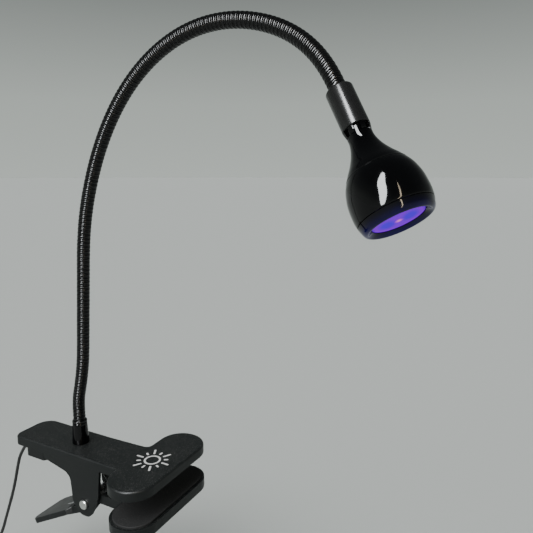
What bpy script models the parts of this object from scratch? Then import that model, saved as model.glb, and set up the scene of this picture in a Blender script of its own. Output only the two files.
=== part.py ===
"""Clamp-on gooseneck curing lamp with a cord, an in-line switch and a plug.

Every length below is in millimetres and is turned into metres when a mesh is made.
The origin is on the contact face of the upper jaw's pad, which lies on a table top:
+X runs from the rear of the handle to the jaws, +Y along the jaws and +Z up.
"""
import math

import bmesh
import bpy
from mathutils import Matrix, Vector

MM = 0.001
GAP = 0.3  # left between pieces that touch
WALL = 2.2  # thickness of the moulded shells

# Upper jaw: a shallow tray, T shaped in plan
PAD_PROUD = 1.6  # how far a pad stands out of its jaw
SHELL_HEIGHT = 8.0
SHELL_LOW = PAD_PROUD
SHELL_TOP = SHELL_LOW + SHELL_HEIGHT
HANDLE_REAR_X = -139.3
HANDLE_HALF_WIDTH = 18.5
JAW_HALF_DEPTH = 20.0
JAW_NEAR_Y = -40.5
JAW_FAR_Y = 56.5
JAW_END_RADIUS = 19.5

# Pivot of the two jaws, and the webs that carry it
PIVOT = Vector((-58.0, 0.0, -33.0))
PIN_RADIUS = 2.0
PIN_HOLE_RADIUS = 2.35
WEB_INNER_Y = 15.4
WEB_OUTER_Y = 17.9

# Lower jaw, drawn with the jaws open on a 20 mm table
TABLE = 20.0
LOWER_RIM = -TABLE - PAD_PROUD
LOWER_BASE = LOWER_RIM - SHELL_HEIGHT
EAR_INNER_Y = 12.2
EAR_OUTER_Y = 14.6
HANDLE_DROOP = math.radians(28.0)
HANDLE_LENGTH = 77.2
HANDLE_THICK = 4.5
HANDLE_START = 21.0  # where the handle plate begins, clear of the spring
HANDLE_WIDENS = 22.5

# Torsion spring round the pivot pin
SPRING_RADIUS = 5.5
WIRE_RADIUS = 0.8
SPRING_PITCH = 2.2
SPRING_TURNS = 6
SPRING_START_Y = 9.0
SPRING_SIDES_PER_TURN = 12

# Gooseneck: a hose that rises from a collar on the handle
COLLAR_X = -76.9
COLLAR_TOP = SHELL_TOP + 18.6
HOSE_RADIUS = 5.0
HOSE_LENGTH = 471.0
HOSE_LINKS = 13
# lean from upright, in degrees, at distances along the hose
HOSE_LEAN = ((0, -1), (13, 2), (29, 15), (74, 5), (134, 5), (194, 18), (254, 35), (314, 60), (374, 92), (471, 147))
HOSE_TURN = (-2.0, -24.0)  # compass direction of the lean at the start and at the end, in degrees
HOSE_TURN_LENGTH = 90.0  # the turn happens over this length before the end
HOSE_SIDES = 12
CUP_RADIUS = 5.6

# Head, measured along its axis from the end of the hose's own line, inside the sleeve
SLEEVE_RADIUS = 7.7
SLEEVE_START = 3.7
SLEEVE_END = 28.3
RING_LENGTH = 3.8
NECK_START = 32.7
NECK_END = 55.0
BULB_END = 79.1
HEAD_LENGTH = 84.8
HEAD_WALL = 1.8
LENS_BACK = 81.3
LENS_RADIUS = 14.0
LENS_EDGE = 1.2  # thickness at the lens's rim
LENS_THICK = 1.9  # thickness at its middle
HEAD_SIDES = 32
# outer profile of the neck, bulb and bezel: distance along the axis, radius
HEAD_PROFILE = ((32.7, 6.9), (36.0, 7.0), (40.0, 8.0), (44.0, 9.7), (48.5, 12.3), (52.0, 14.7), (55.0, 16.5),
                (58.0, 18.1), (61.0, 19.3), (66.0, 20.5), (71.0, 20.9), (75.5, 20.85), (79.1, 20.3), (81.5, 19.6),
                (83.4, 18.9), (84.8, 17.6))

# Wiring cover under the handle
COVER_REAR = -130.0
COVER_FRONT = -107.0
COVER_HALF_WIDTH = 14.0
COVER_LOW = -9.4
COVER_WALL = 1.6

# Cord, switch and plug, lying on a surface below the clamp
FLOOR = -120.0
CORD_RADIUS = 1.4
CORD_EXIT = Vector((-131.6, -9.0, -1.5))
SWITCH_REAR = -148.0
SWITCH_FRONT = -102.0
SWITCH_Y = -71.0
SWITCH_MIDDLE = 6.0  # height of the cord's entry above the surface
SWITCH_TOP = 11.6
COIL_CENTRE = (-62.0, -52.2)
COIL_RADIUS = 16.0
COIL_COLUMNS = 3
COIL_ROWS = 4
COIL_LIFT = 1.2  # the tie passes under the coil
PLUG_REAR = -12.0
PLUG_FRONT = 10.0
PLUG_MIDDLE = 4.0
PLUG_Y = -72.0

FINISHES = {
    "matte_black_plastic": ((0.028, 0.029, 0.031), 0.55, 0.0),
    "gloss_black_plastic": ((0.012, 0.012, 0.013), 0.12, 0.0),
    "gloss_black_hose": ((0.015, 0.015, 0.016), 0.2, 0.3),
    "black_rubber": ((0.02, 0.02, 0.02), 0.8, 0.0),
    "cord_black": ((0.018, 0.018, 0.018), 0.5, 0.0),
    "zinc_steel": ((0.62, 0.62, 0.6), 0.35, 1.0),
    "spring_steel": ((0.4, 0.4, 0.41), 0.3, 1.0),
    "aluminium": ((0.75, 0.75, 0.76), 0.4, 1.0),
    "mirror_plastic": ((0.85, 0.85, 0.87), 0.08, 1.0),
    "board_white": ((0.85, 0.85, 0.83), 0.5, 0.0),
    "emitter_yellow": ((0.8, 0.7, 0.25), 0.3, 0.0),
    "violet_lens": ((0.3, 0.08, 0.9), 0.15, 0.0),
    "red_insulation": ((0.55, 0.03, 0.02), 0.5, 0.0),
    "white_plastic": ((0.8, 0.8, 0.78), 0.4, 0.0),
}


def finish(name):
    """The material of that name, made on first use."""
    if name in bpy.data.materials:
        return bpy.data.materials[name]
    colour, roughness, metallic = FINISHES[name]
    material = bpy.data.materials.new(name)
    material.use_nodes = True
    shader = material.node_tree.nodes["Principled BSDF"]
    shader.inputs["Base Color"].default_value = (*colour, 1.0)
    shader.inputs["Roughness"].default_value = roughness
    shader.inputs["Metallic"].default_value = metallic
    material.diffuse_color = (*colour, 1.0)
    return material


def place_object(name, data, finish_name, place):
    """Links data to the scene as an object of that name; place is a matrix in millimetres."""
    data.materials.append(finish(finish_name))
    item = bpy.data.objects.new(name, data)
    bpy.context.scene.collection.objects.link(item)
    move = place.copy() if place else Matrix()
    move.translation *= MM
    item.matrix_world = move
    return item


def add(name, form, finish_name, place=None):
    """Turns a bmesh in millimetres into a named object."""
    bmesh.ops.recalc_face_normals(form, faces=form.faces)
    bmesh.ops.scale(form, vec=(MM, MM, MM), verts=form.verts)
    mesh = bpy.data.meshes.new(name)
    form.to_mesh(mesh)
    form.free()
    mesh.shade_smooth()
    mesh.set_sharp_from_angle(angle=math.radians(35.0))
    return place_object(name, mesh, finish_name, place)


def combine(target, form, operation, place=None):
    """Joins a bmesh to target, or cuts it away, with a Boolean modifier."""
    tool = add(f"{target.name}_{operation.lower()}_{len(target.modifiers)}", form, "zinc_steel", place)
    tool.hide_render = True
    tool.display_type = "WIRE"
    modifier = target.modifiers.new(tool.name, "BOOLEAN")
    modifier.operation = operation
    modifier.solver = "EXACT"
    modifier.object = tool


def loft(rings, closed=False):
    """A skin through rings of equally many points; a ring of one point closes an end."""
    form = bmesh.new()
    rows = [[form.verts.new(point) for point in ring] for ring in rings]
    pairs = list(zip(rows, rows[1:]))
    if closed:
        pairs.append((rows[-1], rows[0]))
    for low, high in pairs:
        count = max(len(low), len(high))
        for i in range(count):
            j = (i + 1) % count
            corners = [low[i % len(low)], low[j % len(low)], high[j % len(high)], high[i % len(high)]]
            form.faces.new(list(dict.fromkeys(corners)))
    return form


def ring(radius, height, sides, turn=0.0):
    """Points of a circle about Z, or its centre alone where the radius is zero."""
    if radius == 0.0:
        return [Vector((0.0, 0.0, height))]
    angles = [turn + math.tau * i / sides for i in range(sides)]
    return [Vector((radius * math.cos(a), radius * math.sin(a), height)) for a in angles]


def turned(profile, sides=24, closed=True):
    """A turned form about Z from (radius, height) points; closed joins the last point to the first."""
    return loft([ring(radius, height, sides) for radius, height in profile], closed)


def tube(inner, outer, low, high, sides=24):
    """A plain tube about Z."""
    return turned([(inner, low), (outer, low), (outer, high), (inner, high)], sides)


def rounded(corners, step=18.0):
    """An outline through (x, y, radius) corners, each turned into an arc."""
    outline = []
    count = len(corners)
    for i, (x, y, radius) in enumerate(corners):
        here = Vector((x, y))
        if radius == 0.0:
            outline.append(here)
            continue
        back = (Vector(corners[i - 1][:2]) - here).normalized()
        ahead = (Vector(corners[(i + 1) % count][:2]) - here).normalized()
        half = back.angle(ahead) / 2
        reach = radius / math.tan(half)
        centre = here + (back + ahead).normalized() * (radius / math.sin(half))
        start = here + back * reach - centre
        swing = start.angle_signed(here + ahead * reach - centre)
        pieces = max(1, round(abs(math.degrees(swing)) / step))
        for k in range(pieces + 1):
            turn = Matrix.Rotation(-swing * k / pieces, 2)
            outline.append(centre + turn @ start)
    return outline


def prism(outline, low, high, soften=0.0):
    """An outline in XY extruded from low to high; soften rounds the rim of its high end."""
    form = bmesh.new()
    base = form.faces.new([form.verts.new((x, y, low)) for x, y in outline])
    lifted = bmesh.ops.extrude_face_region(form, geom=[base])["geom"]
    top = [item for item in lifted if isinstance(item, bmesh.types.BMVert)]
    bmesh.ops.translate(form, verts=top, vec=(0.0, 0.0, high - low))
    if soften:
        rim = [edge for edge in form.edges if all(abs(v.co.z - high) < 1e-5 for v in edge.verts)]
        bmesh.ops.bevel(form, geom=rim, offset=soften, segments=2, profile=0.5, affect="EDGES")
    return form


def cylinder(radius, low, high, sides=24):
    """A plain solid cylinder about Z."""
    return prism([point[:2] for point in ring(radius, 0.0, sides)], low, high)


def block(low, high):
    """A box between two corners."""
    outline = [(low[0], low[1]), (high[0], low[1]), (high[0], high[1]), (low[0], high[1])]
    return prism(outline, low[2], high[2])


def oblong(length_x, length_y, radius, step=18.0):
    """A rounded rectangle centred on the origin."""
    x, y = length_x / 2, length_y / 2
    return rounded([(-x, -y, radius), (x, -y, radius), (x, y, radius), (-x, y, radius)], step)


# An outline drawn in X and Z and extruded along Y; its low end becomes the +Y side
UPRIGHT = Matrix.Rotation(math.radians(90.0), 4, "X")


def axis_place(point, direction, towards=(0.0, 1.0, 0.0)):
    """A matrix that sets a form's Z along direction at point, with its Y as near to towards as it can be."""
    up = Vector(direction).normalized()
    side = Vector(towards).cross(up).normalized()
    front = up.cross(side)
    turn = Matrix((side, front, up)).transposed().to_4x4()
    return Matrix.Translation(Vector(point)) @ turn


# --- clamp ---------------------------------------------------------------------------------------


def jaw_outline(inset=0.0):
    """The jaw alone, a bar with round ends."""
    radius = JAW_END_RADIUS - inset
    depth = JAW_HALF_DEPTH - inset
    low, high = JAW_NEAR_Y + inset, JAW_FAR_Y - inset
    return rounded([(-depth, low, radius), (depth, low, radius), (depth, high, radius), (-depth, high, radius)])


def plate_outline():
    """Handle and jaw together."""
    width, depth = HANDLE_HALF_WIDTH, JAW_HALF_DEPTH
    return rounded([
        (HANDLE_REAR_X, -width, 7.0), (-depth, -width, 1.5), (-depth, JAW_NEAR_Y, JAW_END_RADIUS),
        (depth, JAW_NEAR_Y, JAW_END_RADIUS), (depth, JAW_FAR_Y, JAW_END_RADIUS),
        (-depth, JAW_FAR_Y, JAW_END_RADIUS), (-depth, width + 1.5, 4.0), (HANDLE_REAR_X + 80.0, width, 0.0),
        (HANDLE_REAR_X, width, 13.0),
    ])


def upper_web_outline():
    """One web of the upper jaw, in X and Z: it narrows from the handle to a boss at the pivot."""
    x, z = PIVOT.x, PIVOT.z
    top = SHELL_TOP - WALL + 0.5
    return rounded([
        (-104.0, top, 0.0), (-102.5, -3.4, 1.5), (-72.8, -9.8, 9.0), (x - 13.0, z - 1.0, 8.0),
        (x - 5.0, z - 10.5, 7.0), (x + 6.0, z - 10.5, 7.0), (x + 16.0, z + 10.0, 6.0), (-38.5, top, 0.0),
    ], 22.0)


def upper_jaw():
    """The upper jaw's shell and pad."""
    shell = add("upper_jaw_shell", prism(plate_outline(), SHELL_LOW, SHELL_TOP, soften=1.8), "matte_black_plastic")
    pocket_top = SHELL_TOP - WALL
    middle = (HANDLE_REAR_X + WALL - JAW_HALF_DEPTH - WALL) / 2
    length = -JAW_HALF_DEPTH - WALL - HANDLE_REAR_X - WALL
    pocket = prism(oblong(length, 2 * (HANDLE_HALF_WIDTH - WALL), 5.0), SHELL_LOW - 1.0, pocket_top)
    combine(shell, pocket, "DIFFERENCE", Matrix.Translation((middle, 0.0, 0.0)))
    combine(shell, prism(jaw_outline(WALL), SHELL_LOW - 1.0, pocket_top), "DIFFERENCE")
    for side in (-1.0, 1.0):
        low, high = sorted((side * WEB_INNER_Y, side * WEB_OUTER_Y))
        combine(shell, prism(upper_web_outline(), low, high), "UNION", UPRIGHT)
    pin_hole = cylinder(PIN_HOLE_RADIUS, -25.0, 25.0, 16)
    combine(shell, pin_hole, "DIFFERENCE", axis_place(PIVOT, (0.0, 1.0, 0.0), (0.0, 0.0, 1.0)))
    stud_hole = cylinder(4.4, 0.0, 12.0)
    combine(shell, stud_hole, "DIFFERENCE", Matrix.Translation((COLLAR_X, 0.0, 0.0)))
    pad = prism(jaw_outline(WALL + GAP), 0.0, pocket_top - GAP)
    add("upper_jaw_pad", pad, "black_rubber")


def handle_point(along, above):
    """A point of the lower handle's own section, as world X and Z."""
    c, s = math.cos(HANDLE_DROOP), math.sin(HANDLE_DROOP)
    return PIVOT.x - along * c - above * s, PIVOT.z - along * s + above * c


def ear_outline():
    """One ear of the lower jaw, in X and Z: from the jaw, round the pivot, to under the handle."""
    x, z = PIVOT.x, PIVOT.z
    return rounded([
        (-18.2, LOWER_RIM, 0.0), (-18.2, LOWER_BASE, 0.0), (x + 14.0, LOWER_BASE, 6.0), (x + 4.0, z - 9.5, 6.0),
        (x - 7.0, z - 11.5, 5.0), (*handle_point(50.0, -HANDLE_THICK), 0.0), (*handle_point(50.0, -0.8), 0.0),
        (*handle_point(9.0, -0.8), 0.0), (x - 6.0, z + 9.0, 5.0), (x + 7.0, z + 10.0, 5.0),
        (x + 20.0, LOWER_RIM, 4.0),
    ], 25.0)


def lower_jaw():
    """The lower jaw's shell, with its handle, and its pad."""
    shell = add("lower_jaw_shell", prism(jaw_outline(), LOWER_BASE, LOWER_RIM), "matte_black_plastic")
    combine(shell, prism(jaw_outline(WALL), LOWER_BASE + WALL, LOWER_RIM + 1.0), "DIFFERENCE")
    floor_plate = block((PIVOT.x + 10.0, -EAR_OUTER_Y + 0.4, LOWER_BASE), (-18.4, EAR_OUTER_Y - 0.4, LOWER_BASE + WALL))
    combine(shell, floor_plate, "UNION")
    for side in (-1.0, 1.0):
        low, high = sorted((side * EAR_INNER_Y, side * EAR_OUTER_Y))
        combine(shell, prism(ear_outline(), low, high), "UNION", UPRIGHT)
    width = HANDLE_HALF_WIDTH
    narrow = EAR_OUTER_Y - 0.2
    handle = rounded([
        (HANDLE_START, -narrow, 0.0), (HANDLE_WIDENS, -narrow, 0.0), (HANDLE_WIDENS + 4.0, -width, 3.0),
        (HANDLE_LENGTH, -width, 7.0), (HANDLE_LENGTH, width, 9.0), (HANDLE_WIDENS + 4.0, width, 3.0),
        (HANDLE_WIDENS, narrow, 0.0), (HANDLE_START, narrow, 0.0),
    ])
    tilt = Matrix.Translation(PIVOT) @ Matrix.Rotation(-HANDLE_DROOP, 4, "Y") @ Matrix.Rotation(math.pi, 4, "Z")
    combine(shell, prism(handle, -HANDLE_THICK, 0.0, soften=0.8), "UNION", tilt)
    hollow_length = HANDLE_LENGTH - 55.0 - WALL
    hollow = prism(oblong(hollow_length, 2 * (width - WALL), 4.0), -HANDLE_THICK - 1.0, -WALL)
    combine(shell, hollow, "DIFFERENCE", tilt @ Matrix.Translation((55.0 + hollow_length / 2, 0.0, 0.0)))
    pin_hole = cylinder(PIN_HOLE_RADIUS, -25.0, 25.0, 16)
    combine(shell, pin_hole, "DIFFERENCE", axis_place(PIVOT, (0.0, 1.0, 0.0), (0.0, 0.0, 1.0)))
    pad = prism(jaw_outline(WALL + GAP), LOWER_BASE + WALL + GAP, -TABLE)
    add("lower_jaw_pad", pad, "black_rubber")


def pivot():
    """The pin with its head, and the push-on clip at its far end."""
    place = axis_place(PIVOT, (0.0, 1.0, 0.0), (0.0, 0.0, 1.0))
    head = -WEB_OUTER_Y - GAP
    end = WEB_OUTER_Y + 3.0
    pin = turned([(0.0, head - 1.6), (3.6, head - 1.6), (4.0, head - 1.2), (4.0, head), (PIN_RADIUS, head),
                  (PIN_RADIUS, end - 0.6), (PIN_RADIUS - 0.5, end), (0.0, end)], 16, closed=False)
    add("pivot_pin", pin, "zinc_steel", place)
    near = WEB_OUTER_Y + GAP
    add("pivot_clip", tube(PIN_RADIUS + 0.15, 4.5, near, near + 1.0, 16), "zinc_steel", place)


def wire(name, points, radius, finish_name, resolution=2):
    """A round wire or cord along points, as a poly curve with filled caps."""
    curve = bpy.data.curves.new(name, "CURVE")
    curve.dimensions = "3D"
    curve.bevel_depth = radius * MM
    curve.bevel_resolution = resolution
    curve.use_fill_caps = True
    spline = curve.splines.new("POLY")
    spline.points.add(len(points) - 1)
    for target, point in zip(spline.points, points):
        target.co = (*(Vector(point) * MM), 1.0)
    return place_object(name, curve, finish_name, None)


def coil_points(start_y, turns, first_angle):
    """Points of a helix round the pivot, towards -Y; the angle is measured from +X to +Z and falls."""
    count = round(turns * SPRING_SIDES_PER_TURN)
    points = []
    for i in range(count + 1):
        share = i / count
        angle = first_angle - math.tau * turns * share
        y = start_y - SPRING_PITCH * turns * share
        points.append(PIVOT + Vector((SPRING_RADIUS * math.cos(angle), y, SPRING_RADIUS * math.sin(angle))))
    return points


def tangent_angle(x, z, side):
    """The angle at which a straight leg to world (x, z) touches the coil, on one side of it."""
    away = Vector((x - PIVOT.x, z - PIVOT.z))
    return math.atan2(away.y, away.x) + side * math.acos(SPRING_RADIUS / away.length)


def spring():
    """The torsion spring: coils and upper leg stay with the upper jaw, the end turn with the lower one."""
    x, z = -88.0, SHELL_TOP - WALL - GAP - WIRE_RADIUS
    first = tangent_angle(x, z, -1.0)
    coils = coil_points(SPRING_START_Y, SPRING_TURNS, first)
    legs = [(x - 6.0, SPRING_START_Y, z), (x, SPRING_START_Y, z)]
    wire("torsion_spring", [*legs, *coils], WIRE_RADIUS, "spring_steel")
    knee = handle_point(HANDLE_START - 1.0, WIRE_RADIUS + GAP + 0.1)
    tip = handle_point(HANDLE_START + 11.0, WIRE_RADIUS + GAP + 0.1)
    last = tangent_angle(*knee, 1.0)
    turns = 1.0 + ((first - last) / math.tau) % 1.0
    start = SPRING_START_Y - SPRING_PITCH * SPRING_TURNS - 2 * WIRE_RADIUS - 0.4
    turn = coil_points(start, turns, first)
    y = turn[-1].y
    legs = [(knee[0], y, knee[1]), (tip[0], y, tip[1])]
    wire("torsion_spring_lower_end", [*turn, *legs], WIRE_RADIUS, "spring_steel")


# --- handle fittings -----------------------------------------------------------------------------


def hexagon(across):
    """A hexagon's outline from its width across flats."""
    radius = across / math.sqrt(3.0)
    return [(radius * math.cos(math.tau * i / 6), radius * math.sin(math.tau * i / 6)) for i in range(6)]


def collar():
    """The hose's collar and what clamps it to the handle."""
    place = Matrix.Translation((COLLAR_X, 0.0, 0.0))
    low = SHELL_TOP + GAP
    shoulder = COLLAR_TOP - 6.0
    body = turned([(4.4, low), (6.9, low), (6.9, low + 3.0), (5.8, COLLAR_TOP - 0.6), (5.4, COLLAR_TOP),
                   (3.8, COLLAR_TOP), (3.8, shoulder), (4.4, shoulder)])
    add("hose_collar", body, "gloss_black_plastic", place)
    ring_low = COLLAR_TOP + GAP
    add("hose_collar_ring", tube(5.3, 6.0, ring_low, ring_low + 1.5), "gloss_black_plastic", place)
    add("hose_stud", tube(2.6, 4.0, 0.5, shoulder - GAP, 16), "zinc_steel", place)
    under = SHELL_TOP - WALL - GAP
    add("hose_washer", tube(4.3, 7.5, under - 1.0, under), "zinc_steel", place)
    nut = add("hose_nut", prism(hexagon(12.0), under - 5.3, under - 1.0 - GAP), "zinc_steel", place)
    combine(nut, cylinder(4.3, under - 9.0, under + 3.0, 16), "DIFFERENCE", place)


def wiring_cover():
    """The cover under the rear of the handle, its screws, and the bush that the cord leaves through."""
    length = COVER_FRONT - COVER_REAR
    middle = (COVER_FRONT + COVER_REAR) / 2
    top = SHELL_TOP - WALL - GAP
    place = Matrix.Translation((middle, 0.0, 0.0))
    cover = add("wiring_cover", prism(oblong(length, 2 * COVER_HALF_WIDTH, 2.5), COVER_LOW, top),
                "matte_black_plastic", place)
    inside = oblong(length - 2 * COVER_WALL, 2 * (COVER_HALF_WIDTH - COVER_WALL), 0.8)
    combine(cover, prism(inside, COVER_LOW + COVER_WALL, top + 2.0), "DIFFERENCE", place)
    notch = block((COVER_FRONT - 4.0, -5.0, -2.0), (COVER_FRONT + 2.0, 5.0, top + 2.0))
    combine(cover, notch, "DIFFERENCE")
    exit_place = axis_place((COVER_REAR, CORD_EXIT.y, CORD_EXIT.z), (-1.0, 0.0, 0.0))
    combine(cover, cylinder(2.7, -4.0, 4.0, 16), "DIFFERENCE", exit_place)
    for side, label in ((-1.0, "near"), (1.0, "far")):
        at = Matrix.Translation((middle, side * 7.5, 0.0))
        combine(cover, cylinder(1.5, COVER_LOW - 1.0, COVER_LOW + 4.0, 12), "DIFFERENCE", at)
        head = COVER_LOW - GAP
        screw = turned([(0.0, head - 1.4), (1.8, head - 1.4), (2.5, head - 0.6), (2.5, head), (1.2, head),
                        (1.2, top - 1.0), (0.0, top)], 12, closed=False)
        add(f"wiring_cover_screw_{label}", screw, "zinc_steel", at)
    outside, inner = 1.3, -COVER_WALL - 1.0
    bush = turned([(1.7, outside), (2.7, outside), (3.3, outside - 0.6), (3.3, 0.3), (2.4, 0.3),
                   (2.4, -COVER_WALL - 0.3), (2.9, -COVER_WALL - 0.3), (2.9, inner), (1.7, inner)], 16)
    add("cord_bush", bush, "black_rubber", exit_place)


def smooth_route(points, spacing):
    """Evenly spaced points on a smooth curve through the given ones."""
    knots = [Vector(p) for p in points]
    knots = [2 * knots[0] - knots[1], *knots, 2 * knots[-1] - knots[-2]]
    fine = []
    for a, b, c, d in zip(knots, knots[1:], knots[2:], knots[3:]):
        for k in range(24):
            t = k / 24
            fine.append(0.5 * (2 * b + (c - a) * t + (2 * a - 5 * b + 4 * c - d) * t * t
                               + (3 * b - 3 * c + d - a) * t ** 3))
    fine.append(knots[-2])
    runs = [0.0]
    for a, b in zip(fine, fine[1:]):
        runs.append(runs[-1] + (b - a).length)
    count = max(2, round(runs[-1] / spacing))
    route = []
    k = 0
    for i in range(count + 1):
        want = runs[-1] * i / count
        while k < len(runs) - 2 and runs[k + 1] < want:
            k += 1
        share = (want - runs[k]) / (runs[k + 1] - runs[k])
        route.append(fine[k].lerp(fine[k + 1], min(1.0, share)))
    return route


def inner_wires():
    """The two splices in the cover and the leads that run on to the hose's stud."""
    for side, label, colour in ((-1.0, "near", "red_insulation"), (1.0, "far", "matte_black_plastic")):
        y = side * 2.6
        place = axis_place((-125.0, y, -1.0), (1.0, 0.0, 0.0))
        add(f"splice_{label}", cylinder(1.5, 0.0, 13.0, 12), "white_plastic", place)
        route = [(-111.6, y, -1.0), (-109.5, y, 0.4), (-106.5, y, 3.0), (-102.0, y, 4.4), (-94.0, y, 3.4),
                 (-86.0, side * 2.0, -0.5), (-80.5, side * 1.3, -4.2), (-78.2, side * 1.1, -2.6),
                 (COLLAR_X, side * 1.1, 0.1)]
        wire(f"lead_{label}", smooth_route(route, 2.4), 0.7, colour)


# --- gooseneck -----------------------------------------------------------------------------------


def end_slope(near_width, far_width, near_slope, far_slope):
    """The slope at an end of the lean curve, from the two spans next to it."""
    return ((2 * near_width + far_width) * near_slope - near_width * far_slope) / (near_width + far_width)


def lean_slopes():
    """The lean curve's slope at each stated distance; the curve never overshoots between two of them."""
    widths = [q - p for (p, _), (q, _) in zip(HOSE_LEAN, HOSE_LEAN[1:])]
    rises = [(b - a) / width for (_, a), (_, b), width in zip(HOSE_LEAN, HOSE_LEAN[1:], widths)]
    slopes = [end_slope(widths[0], widths[1], rises[0], rises[1])]
    for w, v, low, high in zip(widths, widths[1:], rises, rises[1:]):
        if low * high <= 0.0:
            slopes.append(0.0)
        else:
            slopes.append(3 * (w + v) / ((2 * v + w) / low + (v + 2 * w) / high))
    slopes.append(end_slope(widths[-1], widths[-2], rises[-1], rises[-2]))
    return slopes


LEAN_SLOPES = lean_slopes()


def lean_at(distance):
    """The hose's lean from upright at a distance along it, in radians."""
    last = len(HOSE_LEAN) - 2
    i = next((n for n in range(last) if distance <= HOSE_LEAN[n + 1][0]), last)
    (start, low), (end, high) = HOSE_LEAN[i], HOSE_LEAN[i + 1]
    width = end - start
    t = min(1.0, (distance - start) / width)
    value = (low * (1 + 2 * t) * (1 - t) ** 2 + LEAN_SLOPES[i] * width * t * (1 - t) ** 2
             + high * t * t * (3 - 2 * t) + LEAN_SLOPES[i + 1] * width * t * t * (t - 1))
    return math.radians(value)


def compass_at(distance):
    """The direction of the lean, in radians from +X towards +Y."""
    share = max(0.0, (distance - HOSE_LENGTH + HOSE_TURN_LENGTH) / HOSE_TURN_LENGTH)
    share = min(1.0, share)
    share = share * share * (3 - 2 * share)
    return math.radians(HOSE_TURN[0] + (HOSE_TURN[1] - HOSE_TURN[0]) * share)


def hose_direction(distance):
    """The hose's own direction at a distance along it."""
    lean, compass = lean_at(distance), compass_at(distance)
    return Vector((math.sin(lean) * math.cos(compass), math.sin(lean) * math.sin(compass), math.cos(lean)))


def hose_line():
    """The hose's centre at every millimetre of its length, from the top of the collar."""
    here = Vector((COLLAR_X, 0.0, COLLAR_TOP))
    line = [here.copy()]
    for step in range(int(HOSE_LENGTH)):
        here += hose_direction(step + 0.5)
        line.append(here.copy())
    return line


HOSE_CENTRE = hose_line()


def hose_frame(distance):
    """The hose's cross-section frame: Z along the hose, Y along the axis that it bends forward about."""
    low = max(0, min(int(distance), len(HOSE_CENTRE) - 2))
    at = HOSE_CENTRE[low].lerp(HOSE_CENTRE[low + 1], distance - low)
    compass = compass_at(distance)
    return axis_place(at, hose_direction(distance), (-math.sin(compass), math.cos(compass), 0.0))


def section(distance, radius, offset=0.0):
    """A ring of the hose's skin, offset along the hose's direction at that distance."""
    frame = hose_frame(distance)
    return [frame @ point for point in ring(radius, offset, HOSE_SIDES)]


def joint_distance(number):
    """Distance along the hose of the joint after link number."""
    return HOSE_LENGTH * number / HOSE_LINKS


def cup(distance):
    """The hollow start of a link, which sits on the dome of the one before it."""
    rim = math.asin(HOSE_RADIUS / CUP_RADIUS)
    rows = []
    for share in (0.0, 0.35, 0.68, 1.0):
        polar = rim * share
        rows.append(section(distance, CUP_RADIUS * math.sin(polar), CUP_RADIUS * math.cos(polar)))
    return rows


def dome(distance):
    """The round end of a link."""
    rows = []
    for polar in (90.0, 60.0, 30.0, 0.0):
        angle = math.radians(polar)
        radius = HOSE_RADIUS * math.sin(angle) if polar else 0.0
        rows.append(section(distance, radius, HOSE_RADIUS * math.cos(angle)))
    return rows


def hose_links():
    """The gooseneck as a chain of links, each a ball in the next one's cup."""
    reach = math.sqrt(CUP_RADIUS ** 2 - HOSE_RADIUS ** 2)
    for number in range(1, HOSE_LINKS + 1):
        start, end = joint_distance(number - 1), joint_distance(number)
        if number == 1:
            rows = [section(0.0, 0.0, -5.0), section(0.0, 3.4, -5.0), section(0.0, 3.4, GAP),
                    section(0.0, HOSE_RADIUS, GAP)]
            first = 1
        else:
            rows = cup(start)
            first = 1
            start += reach
        for k in range(first, 4):
            rows.append(section(start + (end - start) * k / 4, HOSE_RADIUS))
        if number == HOSE_LINKS:
            rows += [section(end, HOSE_RADIUS), section(end, HOSE_RADIUS, 7.6), section(end, 0.0, 7.6)]
        else:
            rows += dome(end)
        add(f"hose_link_{number:02d}", loft(rows), "gloss_black_hose")


# --- head ----------------------------------------------------------------------------------------


def head_frame():
    """The head's frame: Z runs from the end of the hose's line to the lens."""
    return hose_frame(HOSE_LENGTH)


def shell_profile(low, high, step=0.0):
    """A closed wall profile between two distances: the outer line, then the inner one back."""
    outer = [(radius, along) for along, radius in HEAD_PROFILE if low - 1e-6 <= along <= high + 1e-6]
    inner = [(max(radius - HEAD_WALL, 4.4), along) for radius, along in reversed(outer)]
    if step:
        inner = [(radius, along + step if along == high else along) for radius, along in inner]
    return outer + inner


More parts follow.
